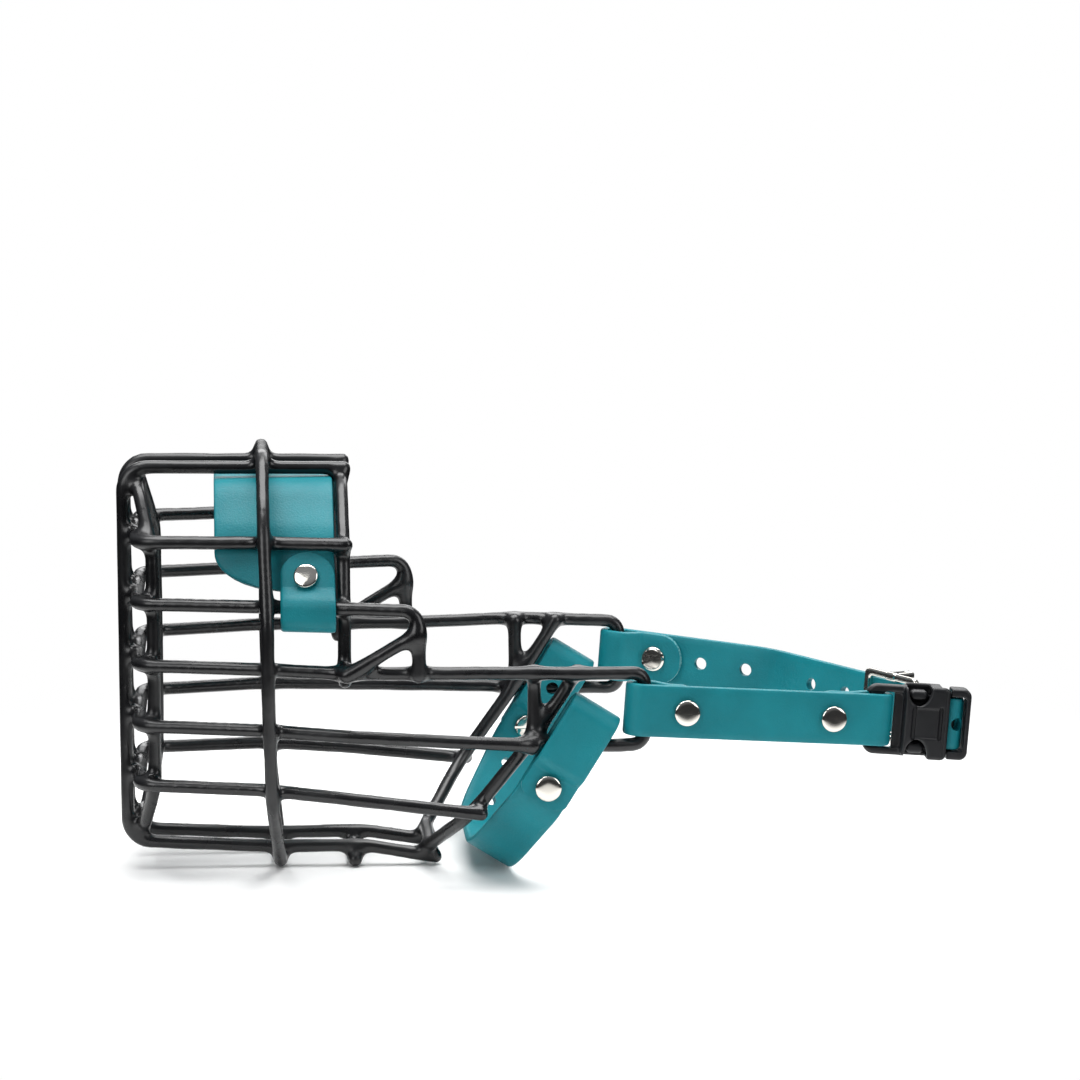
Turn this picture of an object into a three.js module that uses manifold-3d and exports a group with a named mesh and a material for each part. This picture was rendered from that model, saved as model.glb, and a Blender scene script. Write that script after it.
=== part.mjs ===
// Basket muzzle for a medium dog: a welded, dip-coated wire basket, a nose pad, a two-part neck strap with a
// side-release buckle and a sliding adjuster, and a throat strap. Millimetres, +Z up, nose towards -X.
import * as THREE from "three";
import { mergeVertices } from "three/addons/utils/BufferGeometryUtils.js";
import Module from "manifold-3d";

const wasm = await Module();
wasm.setup();

// ---- Driving dimensions ----------------------------------------------------------------------------------
const WIRE = 4.4; // bare wire under its coating
const LAY = 4.7; // centre to centre where one wire lies on another
const FOOT_X = 54; // from the nose bars back to the middle hoop's foot, the origin of the part

const CENTRE_Y = 10.7; // half the spacing of the two wires that run over the nose
const TOP_Z = 143.6;
const CHIN_Z = 9.6;
const FLOOR_WIRE_Z = WIRE / 2; // the hoop's foot and the cross wire rest on the floor
const RAIL_Z = FLOOR_WIRE_Z + LAY; // the centre wires over the hoop's foot
const HOOP_X = 50;
const ARCH_X = 76.6;
const STEP_X = 102;
const POST_X = 142;
const BAR_X = 180.5; // the D-loops' end bars, which the neck strap wraps
const BAR_Y = 55;
const LOOP_TOP_Z = 75.3;
const LOOP_LOW_Z = 50.2;
const LOOP_Y = 57; // the D-loops' lower wires, which the throat strap wraps

const STRAP = 2.6; // thickness of coated webbing
const STRAP_WIDTH = 18.8;
const PLY = STRAP + 0.3; // from one ply's middle to the next where they lie together
const HOLE = 2.4; // radius of a punched hole
const HOLE_PITCH = 17.5;

const NECK_DROOP = THREE.MathUtils.degToRad(4.5);
const THROAT_LEAN = THREE.MathUtils.degToRad(32);
const SCREW_HEAD = 4.6; // radius
const SEAT_GAP = 0.2; // under a screw's heads

// ---- Finishes --------------------------------------------------------------------------------------------
const finish = (color, roughness, metalness = 0) =>
  new THREE.MeshStandardMaterial({ color, roughness, metalness });
const dipCoat = finish(0x1b1b1e, 0.42);
const webbing = finish(0x24929a, 0.5);
const nickel = finish(0xcfccc6, 0.22, 1);
const acetal = finish(0x1a1a1c, 0.5);

// ---- Solids ----------------------------------------------------------------------------------------------
const v3 = (x, y, z) => new THREE.Vector3(x, y, z);

// A geometry as a solid that can be cut and joined, and back again.
function solid(geometry) {
  const plain = geometry.index ? geometry.toNonIndexed() : geometry.clone();
  const bare = new THREE.BufferGeometry().setAttribute("position", plain.getAttribute("position"));
  const merged = mergeVertices(bare, 1e-4);
  return new wasm.Manifold(
    new wasm.Mesh({
      numProp: 3,
      vertProperties: merged.attributes.position.array,
      triVerts: new Uint32Array(merged.index.array),
    }),
  );
}

function geometryOf(made) {
  const mesh = made.getMesh();
  const geometry = new THREE.BufferGeometry();
  geometry.setAttribute("position", new THREE.BufferAttribute(mesh.vertProperties, 3));
  geometry.setIndex(new THREE.BufferAttribute(mesh.triVerts, 1));
  return geometry;
}

// A block given by its two extreme corners.
function block(low, high) {
  const size = high.map((h, i) => h - low[i]);
  const geometry = new THREE.BoxGeometry(...size);
  return geometry.translate(...low.map((l, i) => l + size[i] / 2));
}

// A pin of the given radius and length, its middle at a point and its axis along a direction.
function pin(radius, length, middle, axis, sides = 12) {
  const geometry = new THREE.CylinderGeometry(radius, radius, length, sides);
  const turn = new THREE.Quaternion().setFromUnitVectors(v3(0, 1, 0), axis.clone().normalize());
  return geometry.applyQuaternion(turn).translate(middle.x, middle.y, middle.z);
}

const cut = (from, ...tools) => tools.reduce((left, tool) => left.subtract(solid(tool)), from);
const join = (...geometries) => geometries.map(solid).reduce((all, next) => all.add(next));

// Rounds each inner corner of a route. A corner is [x, y, z] or [x, y, z, radius].
function bend(corners, radius) {
  const points = corners.map(([x, y, z]) => v3(x, y, z));
  const route = [points[0]];
  for (let i = 1; i < points.length - 1; i++) {
    const into = points[i].clone().sub(points[i - 1]).normalize();
    const out = points[i + 1].clone().sub(points[i]).normalize();
    const turn = into.angleTo(out);
    const r = corners[i][3] ?? radius;
    const start = points[i].clone().addScaledVector(into, -r * Math.tan(turn / 2));
    const towards = out.clone().addScaledVector(into, -out.dot(into)).normalize();
    const steps = Math.max(1, Math.ceil(turn / THREE.MathUtils.degToRad(24)));
    for (let k = 0; k <= steps; k++) {
      const a = (turn * k) / steps;
      const along = start.clone().addScaledVector(into, r * Math.sin(a));
      route.push(along.addScaledVector(towards, r * (1 - Math.cos(a))));
    }
  }
  route.push(points.at(-1));
  return route;
}

// The same route on both sides: it runs from the right-hand end over to the left-hand one.
const bothSides = (corners) => [
  ...corners,
  ...corners.map(([x, y, ...rest]) => [x, -y, ...rest]).reverse(),
];

// A route as a curve for ExtrudeGeometry, with one section at each of its points. The section's second axis
// keeps to one reference direction, so a strap's width or a wire's flat never twists.
class Route extends THREE.Curve {
  constructor(points, reference, closed) {
    super();
    Object.assign(this, { points, reference, closed });
  }
  getPoint(t) {
    const at = t * (this.points.length - 1);
    const i = Math.min(Math.floor(at), this.points.length - 2);
    return this.points[i].clone().lerp(this.points[i + 1], at - i);
  }
  getSpacedPoints() {
    return this.points;
  }
  tangent(i) {
    const n = this.points.length - 1;
    const before = this.closed && i === 0 ? n - 1 : Math.max(i - 1, 0);
    const after = this.closed && i === n ? 1 : Math.min(i + 1, n);
    const into = this.points[i].clone().sub(this.points[before]).normalize();
    const out = this.points[after].clone().sub(this.points[i]).normalize();
    return into.add(out).normalize();
  }
  computeFrenetFrames() {
    const tangents = this.points.map((_, i) => this.tangent(i));
    const square = (t) => this.reference.clone().addScaledVector(t, -this.reference.dot(t)).normalize();
    const binormals = tangents.map(square);
    const normals = tangents.map((t, i) => binormals[i].clone().cross(t));
    return { tangents, normals, binormals };
  }
}

function sweep(section, points, reference, closed = false) {
  const route = new Route(closed ? [...points, points[0]] : points, reference, closed);
  const steps = route.points.length - 1;
  const geometry = new THREE.ExtrudeGeometry(section, { steps, extrudePath: route });
  if (!closed) return geometry;
  // A closed loop has no ends, so only the group of side walls is kept.
  const [, walls] = geometry.groups;
  const all = geometry.getAttribute("position").array;
  const position = all.slice(walls.start * 3, (walls.start + walls.count) * 3);
  return new THREE.BufferGeometry().setAttribute("position", new THREE.BufferAttribute(position, 3));
}

// ---- Sections --------------------------------------------------------------------------------------------
// An eight-sided wire whose flats face along and across the reference direction.
const wireSection = new THREE.Shape(
  Array.from({ length: 8 }, (_, i) => {
    const a = ((i + 0.5) * Math.PI) / 4;
    const r = WIRE / 2 / Math.cos(Math.PI / 8);
    return new THREE.Vector2(r * Math.cos(a), r * Math.sin(a));
  }),
);

function flatSection(low, high, thickness = STRAP) {
  const shape = new THREE.Shape();
  shape.moveTo(-thickness / 2, low).lineTo(thickness / 2, low).lineTo(thickness / 2, high);
  return shape.lineTo(-thickness / 2, high);
}

// ---- Assembly --------------------------------------------------------------------------------------------
const muzzle = new THREE.Group();
muzzle.position.x = -FOOT_X;

function piece(parent, name, shape, material) {
  const geometry = shape.isBufferGeometry ? shape : geometryOf(shape);
  const mesh = new THREE.Mesh(geometry, material);
  mesh.name = name;
  parent.add(mesh);
}

const wire = (name, corners, radius, reference) =>
  piece(muzzle, name, sweep(wireSection, bend(corners, radius), reference), dipCoat);

// A closed hoop from its right half, listed from the foot to the crown; it starts in the middle of the foot.
function hoop(name, half, reference) {
  const [foot] = half;
  const round = bend([[foot[0], 0, foot[2]], ...bothSides(half), [foot[0], 0, foot[2]]], 10);
  piece(muzzle, name, sweep(wireSection, round.slice(0, -1), reference, true), dipCoat);
}

// ---- Wire basket -----------------------------------------------------------------------------------------
const X = v3(1, 0, 0);
const Y = v3(0, 1, 0);
const Z = v3(0, 0, 1);

const topZ = (x) => TOP_Z - 0.0157 * x; // the centre wires fall a little towards the eyes

for (const [side, s] of [["left", -1], ["right", 1]]) {
  const centre = [
    [ARCH_X + 2.6, s * CENTRE_Y, topZ(ARCH_X + 2.6)],
    [0, s * CENTRE_Y, topZ(0)],
    [0, s * CENTRE_Y, CHIN_Z],
    [HOOP_X, s * 11.6, RAIL_Z, 60],
    [84, s * 12.9, RAIL_Z, 40],
    [109.2, s * 14, 2.6],
  ];
  wire(`centre_wire_${side}`, centre, 8.5, Y);
  wire(`cheek_post_${side}`, [[POST_X, s * 53.9, 60.7], [POST_X, s * 53.9, 78.8]], 1, X);
  wire(`step_brace_${side}`, [[74.4, s * 58.3, 74.4], [98.6, s * 58.4, 88.9]], 1, Y);
}

hoop("middle_hoop", [
  [FOOT_X, 15.5, FLOOR_WIRE_Z, 6],
  [51, 50.2, 30, 14],
  [HOOP_X, 53.9, 72, 60],
  [HOOP_X, 53.7, 94, 40],
  [49, 42.8, 128, 30],
  [49, 20, topZ(49) + LAY, 16],
], X);

hoop("front_hoop", [
  [5.9, 14.5, 15.8, 10],
  [10.2, 30.2, 33, 14],
  [10.4, 32.2, 80, 90],
  [10.2, 29.8, 117, 15],
  [5.4, 14.5, 136.9, 12],
], X);

wire("rear_arch", bothSides([
  [ARCH_X, 48.3, 73.4],
  [ARCH_X, 48.1, 99, 40],
  [ARCH_X, 41.6, 120.5, 20],
  [ARCH_X, 19, topZ(ARCH_X) - LAY, 14],
]), 10, X);

wire("chin_arch", bothSides([
  [158.4, 53.6, 78.2],
  [141.5, 52.7, 52, 60],
  [120.5, 46, 24.5, 25],
  [107, 17, 7.8, 8],
]), 10, X);

wire("chin_cross_wire", [[80.5, 16, FLOOR_WIRE_Z], [80.5, -16, FLOOR_WIRE_Z]], 1, Z);

// The level wires pass behind the centre wires' fronts, turn at the corner of the nose and run back.
const NOSE_BEND = 8;
const level = (number, corner, back) =>
  wire(`level_${number}_wire`, bothSides([...back, [LAY, ...corner, NOSE_BEND]]), 60, Z);

level(1, [33.6, 120.1], [[ARCH_X + 2.4, 47.1, 120.2], [HOOP_X, 39.6, 120.1]]);
level(2, [36.3, 98.8], [
  [STEP_X, 58.7, 73.4],
  [STEP_X, 58.7, 98.6, 6],
  [77, 53, 98.8],
  [HOOP_X, 46.6, 98.8],
]);
level(3, [36.1, 77.1], [
  [POST_X + 0.3, LOOP_Y + 0.9, LOOP_LOW_Z + 0.6],
  [150, LOOP_Y, LOOP_LOW_Z, 30],
  [170, LOOP_Y, LOOP_LOW_Z, 30],
  [BAR_X, BAR_Y, LOOP_LOW_Z, 4.5],
  [BAR_X, BAR_Y, LOOP_TOP_Z, 4.5],
  [157, 58.5, 75.9, 60],
  [POST_X, 58.8, 76.4],
  [STEP_X, 54, 76, 80],
  [77, 53.6, 76.2],
  [HOOP_X, 48.4, 77.1],
]);
level(4, [35.5, 55.6], [[POST_X - 0.3, 57.9, 50.8], [120, 56.8, 51.8], [77, 52.6, 53.8], [HOOP_X, 47.3, 55.4]]);
level(5, [34.7, 34.5], [[123.6, 51.3, 25.4], [77, 48.4, 31], [HOOP_X, 44.2, 33.7]]);

// ---- Screws ----------------------------------------------------------------------------------------------
// A two-part strap screw. Its axis is the group's Y: the domed post stands on the +Y face and the slotted
// screw is driven in from the -Y face. The group's origin is the middle of the two plies.
const STACK = (PLY + STRAP) / 2;

function ring(outline, sides = 16) {
  return new THREE.LatheGeometry(outline.map(([r, y]) => new THREE.Vector2(r, y)), sides);
}

function strapScrew(parent, name, middle, outward) {
  const seat = STACK + SEAT_GAP;
  const group = new THREE.Group();
  group.position.copy(middle);
  group.quaternion.setFromUnitVectors(Y, outward.clone().normalize());
  parent.add(group);
  const post = [
    [0, seat + 0.4], [1.5, seat + 0.4], [1.5, 0.2 - STACK], [2.1, 0.2 - STACK],
    [2.1, seat], [SCREW_HEAD, seat], [SCREW_HEAD, seat + 0.5], [SCREW_HEAD - 1, seat + 1.3],
    [SCREW_HEAD - 2.6, seat + 1.65], [0, seat + 1.7],
  ];
  piece(group, `${name}_post`, ring(post), nickel);
  const driven = [
    [0, -seat - 1.3], [SCREW_HEAD - 1.2, -seat - 1.3], [SCREW_HEAD, -seat - 0.8], [SCREW_HEAD, -seat],
    [1.2, -seat], [1.2, seat - 0.4], [0, seat - 0.4],
  ];
  const slot = block([-SCREW_HEAD, -seat - 2, -0.5], [SCREW_HEAD, -seat - 0.7, 0.5]);
  piece(group, `${name}_screw`, cut(solid(ring(driven)), slot), nickel);
}

const punch = (from, ...places) =>
  places.reduce((left, [middle, axis]) => cut(left, pin(HOLE, 4 * STACK, middle, axis)), from);

// ---- Nose pad --------------------------------------------------------------------------------------------
// A wide pad under the centre wires with a tab at each side. Each tab goes down inside the second level wire,
// round under it and up outside, and is screwed to itself. The whole pad opens out rearwards as the wires do.
const PAD_X = [32, 73.6];
const TAB_X = [54.6, 73.6];
const FLARE_X = 65;
const FLARE = 0.0047;
const LEVEL_2_Y = 50.15; // where the second level wire is at FLARE_X
const LOOP_R = WIRE / 2 + 0.3 + STRAP / 2;
const PAD_TOP = 138.3;
const SCREW_Z = 108.2;
const PAD_LEAN = 0.47;
const padInner = LEVEL_2_Y - LOOP_R;
const padOuter = LEVEL_2_Y + LOOP_R;
const leanY = (z) => padInner - (z - 102.5) * PAD_LEAN; // the inner ply leans in to pass inside the first wire

const padHalf = [
  [FLARE_X, leanY(104), 104],
  [FLARE_X, leanY(123.5), 123.5, 18],
  [FLARE_X, 20, PAD_TOP, 18],
];
const tabHalf = [
  [FLARE_X, leanY(116.5) + PLY, 116.5],
  [FLARE_X, leanY(104.8) + PLY, 104.8, 4],
  [FLARE_X, padOuter, 101, 4],
  [FLARE_X, padOuter, 91.6, LOOP_R],
  [FLARE_X, padInner, 91.6, LOOP_R],
  [FLARE_X, padInner, 102.5, 12],
  [FLARE_X, leanY(107), 107],
];

// The pad's front edge sweeps back in a quarter round to the tab's front edge.
function padOutline(geometry) {
  const p = geometry.getAttribute("position");
  for (let i = 0; i < p.count; i++) {
    const share = THREE.MathUtils.clamp((116 - p.getZ(i)) / 12, 0, 1);
    const front = PAD_X[0] + (TAB_X[0] - PAD_X[0]) * (1 - Math.sqrt(1 - share * share));
    const across = (p.getX(i) - PAD_X[0]) / (PAD_X[1] - PAD_X[0]);
    p.setX(i, front + across * (PAD_X[1] - front));
  }
  return geometry;
}

function flare(made) {
  return made.warp((p) => {
    p[1] *= 1 + FLARE * (p[0] - FLARE_X);
  });
}

const padSection = flatSection(PAD_X[0] - FLARE_X, PAD_X[1] - FLARE_X);
const tabSection = flatSection(TAB_X[0] - FLARE_X, TAB_X[1] - FLARE_X);
const padRise = [107, 110, 112.5, 114.5, 116].map((z) => [FLARE_X, leanY(z), z, 0.01]);
const padRoute = bend(bothSides([padHalf[0], ...padRise, ...padHalf.slice(1)]), 18);
let pad = solid(padOutline(sweep(padSection, padRoute, X)));
const tabMiddle = (TAB_X[0] + TAB_X[1]) / 2;
const spread = 1 + FLARE * (tabMiddle - FLARE_X);
const padScrews = [-1, 1].map((s) => [
  v3(tabMiddle, s * (leanY(SCREW_Z) + PLY / 2) * spread, SCREW_Z),
  v3(-FLARE * leanY(SCREW_Z), s, PAD_LEAN),
]);
for (const s of [-1, 1]) {
  const route = bend(tabHalf.map(([x, y, ...rest]) => [x, s * y, ...rest]), 5);
  pad = pad.add(solid(sweep(tabSection, route, X)));
}
piece(muzzle, "nose_pad", punch(flare(pad), ...padScrews), webbing);
strapScrew(muzzle, "nose_pad_left", ...padScrews[0]);
strapScrew(muzzle, "nose_pad_right", ...padScrews[1]);

// ---- Neck strap ------------------------------------------------------------------------------------------
// Everything behind the end bars is laid out in plan, in a group whose origin is midway between the bars.
const neck = new THREE.Group();
neck.position.set(BAR_X, 0, (LOOP_TOP_Z + LOOP_LOW_Z) / 2);
neck.rotation.y = NECK_DROOP;
muzzle.add(neck);

const strapSection = flatSection(-STRAP_WIDTH / 2, STRAP_WIDTH / 2);
const BAR_LOOP_R = LOOP_R + 0.5; // the strap's middle from the end bar's middle
const FOLD_REACH = 6; // how far in front of the bar the fold's middle lies

// A place in plan given along a direction from an origin and to its left.
const planPoint = (origin, angle, along, left) => [
  origin[0] + along * Math.cos(angle) - left * Math.sin(angle),
  origin[1] + along * Math.sin(angle) + left * Math.cos(angle),
  0,
];

// The tab, the fold round an end bar and the start of the main ply. inside is 1 where the muzzle's inside
// lies to the left of the strap's direction and -1 where it lies to the right.
function barLoop(bar, angle, inside, tabLength) {
  const at = (along, left, r) => [...planPoint(bar, angle, along, left * inside), ...(r ? [r] : [])];
  return [
    at(tabLength, PLY - BAR_LOOP_R),
    at(7.8, PLY - BAR_LOOP_R, 3),
    at(3.2, BAR_LOOP_R, 3),
    at(-FOLD_REACH, BAR_LOOP_R, BAR_LOOP_R),
    at(-FOLD_REACH, -BAR_LOOP_R, BAR_LOOP_R),
  ];
}

// Left strap: from the left end bar to the bar of the buckle's ladder ring.
const RING_X = [79, 91.4];
const RING_BAR = 4.8; // width of the ring's strap bar
const RING_HALF_Y = 1.6;
const BUCKLE_Y = -46.5;
const ringLoopR = RING_HALF_Y + 0.3 + STRAP / 2;
const leftBar = [0, -BAR_Y];
const leftAngle = Math.atan2(BUCKLE_Y - ringLoopR + BAR_Y + BAR_LOOP_R, RING_X[0]);
const ringFold = RING_X[0] + RING_BAR + 1.3 + STRAP / 2;
const onLeft = (along, left = -BAR_LOOP_R) => planPoint(leftBar, leftAngle, along, left);
const leftRoute = bend([
  ...barLoop(leftBar, leftAngle, 1, 19.5),
  [...onLeft(78), 8],
  [ringFold, BUCKLE_Y - ringLoopR, 0, ringLoopR],
  [ringFold, BUCKLE_Y + ringLoopR, 0, ringLoopR],
  [78.4, BUCKLE_Y + ringLoopR, 0, 3],
  [...onLeft(72.6, PLY - BAR_LOOP_R), 3],
  onLeft(60.5, PLY - BAR_LOOP_R),
], 8);
const leftScrews = [13.7, 66.3].map((along) => v3(...onLeft(along, PLY / 2 - BAR_LOOP_R)));
const leftOut = v3(Math.sin(leftAngle), -Math.cos(leftAngle), 0);
const leftStrap = solid(sweep(strapSection, leftRoute, Z));
piece(neck, "neck_strap_left", punch(leftStrap, ...leftScrews.map((place) => [place, leftOut])), webbing);
strapScrew(neck, "neck_left_front", leftScrews[0], leftOut);
strapScrew(neck, "neck_left_rear", leftScrews[1], leftOut);

// Right strap: from the right end bar round behind the head to the pin of the buckle's male half, and back
// through the metal slide.
const PIN_X = 109;
const PIN_Y = -45.3;
const PIN_R = 1.1;
const pinLoopR = PIN_R + 0.25 + STRAP / 2;
const rightBar = [0, BAR_Y];
const rightAngle = THREE.MathUtils.degToRad(-24);
const BACK_TURN = [PIN_X, -39.6]; // where the two plies turn towards the pin
const SHOULDER = [53, 34.5]; // where the strap turns in behind the head
const backAngle = Math.atan2(SHOULDER[1] - BACK_TURN[1], SHOULDER[0] - BACK_TURN[0]);
const backLength = Math.hypot(SHOULDER[0] - BACK_TURN[0], SHOULDER[1] - BACK_TURN[1]);
const onBack = (along, left) => planPoint(BACK_TURN, backAngle, along, left);
// Where a ply on the back line meets a line across at x.
const turnAt = (x, left) =>
  onBack((x - BACK_TURN[0] + left * Math.sin(backAngle)) / Math.cos(backAngle), left);
const SLIDE_AT = 25; // middle of the metal slide from the turn
const RETURN_END = 42;
// The strap flexes behind the shoulder when the buckle is opened, so it is two solids that meet there.
const SPLIT = 78; // from the turn

const rightRoute = bend([
  ...barLoop(rightBar, rightAngle, -1, 24),
  [...onBack(backLength, -PLY / 2), 30],
  onBack(SPLIT + 0.15, -PLY / 2),
], 8);
const backRoute = bend([
  onBack(SPLIT - 0.15, -PLY / 2),
  turnAt(PIN_X + pinLoopR, -PLY / 2),
  [PIN_X + pinLoopR, PIN_Y - pinLoopR, 0, pinLoopR],
  [PIN_X - pinLoopR, PIN_Y - pinLoopR, 0, pinLoopR],
  turnAt(PIN_X - pinLoopR, PLY / 2),
  onBack(RETURN_END, PLY / 2),
], 4);
const rightScrew = v3(...planPoint(rightBar, rightAngle, 13.7, BAR_LOOP_R - PLY / 2));
const rightOut = v3(-Math.sin(rightAngle), Math.cos(rightAngle), 0);
const rightHoles = [1, 2].map((n) => [
  v3(...planPoint(rightBar, rightAngle, 13.7 + n * HOLE_PITCH, BAR_LOOP_R)),
  rightOut,
]);
const backOut = v3(-Math.sin(backAngle), Math.cos(backAngle), 0);
const backHoles = [52, 52 + HOLE_PITCH].map((along) => [v3(...onBack(along, -PLY / 2)), backOut]);
const rightStrap = solid(sweep(strapSection, rightRoute, Z));
piece(neck, "neck_strap_right", punch(rightStrap, [rightScrew, rightOut], ...rightHoles), webbing);
const backStrap = solid(sweep(strapSection, backRoute, Z));
piece(neck, "neck_strap_back", punch(backStrap, ...backHoles), webbing);
strapScrew(neck, "neck_right", rightScrew, rightOut);

// ---- Metal slide -----------------------------------------------------------------------------------------
// A double-loop slide: two end bars on the strap's inner face, a middle bar on its outer face and two cheeks.
const SLIDE_LENGTH = 26;
const SLIDE_BAR = 2.2;
const SLIDE_HALF_Z = 12.4;
const slide = new THREE.Group();
slide.position.set(...onBack(SLIDE_AT, 0));
slide.rotation.z = backAngle;
neck.add(slide);
const inFace = PLY / 2 + STRAP / 2 + 0.3;
const half = SLIDE_LENGTH / 2;
const slideBars = [-half, half - 3].map((x) =>
  block([x, inFace, -SLIDE_HALF_Z], [x + 3, inFace + SLIDE_BAR, SLIDE_HALF_Z]),
);
const middleBar = block([-1.5, -inFace - SLIDE_BAR, -SLIDE_HALF_Z], [1.5, -inFace, SLIDE_HALF_Z]);
const cheeks = [-1, 1].flatMap((s) => {
  const [low, high] = [s * (STRAP_WIDTH / 2 + 0.4), s * SLIDE_HALF_Z].sort((a, b) => a - b);
  return [
    block([-half, inFace, low], [half, inFace + SLIDE_BAR, high]),
    block([-1.5, -inFace - SLIDE_BAR, low], [1.5, inFace + SLIDE_BAR, high]),
  ];
});
piece(slide, "strap_slide", join(...slideBars, middleBar, ...cheeks), nickel);

// ---- Side-release buckle ---------------------------------------------------------------------------------
const buckle = new THREE.Group();
buckle.position.set(0, BUCKLE_Y, 0);
neck.add(buckle);
const BUCKLE_HALF_Z = 12.4;
const BODY_X = [91.4, 107.4];
const BODY_BACK_X = 104.5;
const BODY_Y = [-5, 5];
const SOCKET_Y = [-3.1, 2.8];
const SOCKET_HALF_Z = 11.2;
const WINDOW_X = [92.9, 100.4];
const WINDOW_Z = 5.9;

const ladder = block([RING_X[0], -RING_HALF_Y, -BUCKLE_HALF_Z], [BODY_X[0] + 1, RING_HALF_Y, BUCKLE_HALF_Z]);
const ladderGap = block([RING_X[0] + RING_BAR, -9, -9.9], [BODY_X[0], 9, 9.9]);
// The wall closes what the strap leaves free of the gap.
const gapWall = block([88.3, -0.7, -10.4], [BODY_X[0] + 1, RING_HALF_Y, 10.4]);
const body = block([BODY_X[0], BODY_Y[0], -BUCKLE_HALF_Z], [BODY_X[1], BODY_Y[1], BUCKLE_HALF_Z]);
const socket = block(
  [BODY_X[0] + 1.9, SOCKET_Y[0], -SOCKET_HALF_Z],
  [BODY_X[1] + 1, SOCKET_Y[1], SOCKET_HALF_Z],
);
const backRelief = block([BODY_BACK_X, SOCKET_Y[0], -20], [BODY_X[1] + 1, 20, 20]);
const windows = [-1, 1].map((s) => {
  const [low, high] = [s * WINDOW_Z, s * 20].sort((a, b) => a - b);
  return block([WINDOW_X[0], -20, low], [WINDOW_X[1], SOCKET_Y[1], high]);
});
const panel = block([94, -20, -5], [105.4, BODY_Y[0] + 0.7, 5]);
const closed = cut(join(ladder, body), ladderGap).add(solid(gapWall));
const female = cut(closed, socket, backRelief, ...windows, panel);
piece(buckle, "buckle_female", female, acetal);

// Male half: a plate in the socket's mouth, a frame behind it and the pin that the strap folds round.
const MALE_Y = [-2.8, 2.5];
const MALE_HALF_Z = 10.9;
const MALE_X = [103, 114.6];
const pinY = PIN_Y - BUCKLE_Y;
const frame = block([MALE_X[0], MALE_Y[0], -MALE_HALF_Z], [MALE_X[1], MALE_Y[1], MALE_HALF_Z]);
const opening = block([104.4, -9, -9.75], [113.2, 9, 9.75]);
const tongue = block([95, -1.6, -2.2], [MALE_X[0] + 0.5, 1.6, 2.2]);
const crossPin = pin(PIN_R, 2 * MALE_HALF_Z - 1, v3(PIN_X, pinY, 0), Z);
piece(buckle, "buckle_male", cut(solid(frame), opening).add(join(tongue)).add(join(crossPin)), acetal);

for (const [name, s] of [["upper", 1], ["lower", -1]]) {
  const band = (a, b) => [s * a, s * b].sort((p, q) => p - q);
  const [armLow, armHigh] = band(7.6, 9.4);
  const [padLow, padHigh] = band(7.6, 10.9);
  const arm = block([94.5, -1.4, armLow], [102.7, 1.4, armHigh]);
  const thumb = block([93.3, -2.7, padLow], [99.6, 2.4, padHigh]);
  piece(buckle, `release_prong_${name}`, join(arm, thumb), acetal);
}

// ---- Throat strap ----------------------------------------------------------------------------------------
// It hangs from the D-loops' lower wires. Its group's origin is midway between them and leans forward, so the
// strap itself is drawn upright, with its width along X.
const throat = new THREE.Group();
throat.position.set(155.3, 0, LOOP_LOW_Z);
throat.rotation.y = THROAT_LEAN;
muzzle.add(throat);

const throatR = WIRE / 2 + 0.8 + STRAP / 2;
const FOLD_Z = 15.6;
const CLAMP_Z = -11.4;
const THROAT_SCREW_Z = -16.7;
const TAB_END_Z = -22.5;
const throatHalf = [
  [0, LOOP_Y + PLY / 2, TAB_END_Z],
  [0, LOOP_Y + PLY / 2, CLAMP_Z, 3],
  [0, LOOP_Y + throatR, -8.4, 3],
  [0, LOOP_Y + throatR, FOLD_Z, throatR],
  [0, LOOP_Y - throatR, FOLD_Z, throatR],
  [0, LOOP_Y - throatR, -8.4, 3],
  [0, LOOP_Y - PLY / 2, CLAMP_Z, 3],
  [0, LOOP_Y - PLY / 2, -24.4, 8],
  [0, 32, -52, 24],
];
const throatStrap = solid(sweep(strapSection, bend(bothSides(throatHalf), 10), X));
const throatScrews = [-1, 1].map((s) => [v3(0, s * LOOP_Y, THROAT_SCREW_Z), v3(0, s, 0)]);
const throatHoles = [
  [v3(0, 52.7, THROAT_SCREW_Z + HOLE_PITCH), v3(0, 1, 0)],
  [v3(0, 47.8, -31), v3(0, 0.8, -0.6)],
  [v3(0, 37.2, -45), v3(0, 0.8, -0.6)],
];
piece(throat, "throat_strap", punch(throatStrap, ...throatScrews, ...throatHoles), webbing);
strapScrew(throat, "throat_left", ...throatScrews[0]);
strapScrew(throat, "throat_right", ...throatScrews[1]);

export default muzzle;
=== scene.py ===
# %% [markdown]
# # A basket muzzle
# The frame holds the finished design: where each wire, strap, screw and buckle half is, and how they move.
# This lesson dresses it. The wires get the skin of soft plastic that a real basket is dipped in, the straps
# get their rounded edges, folds and punched holes, and the fittings get the shapes of moulded and cast parts.

import math

import bpy
import numpy as np
from mathutils import Matrix, Vector


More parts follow.
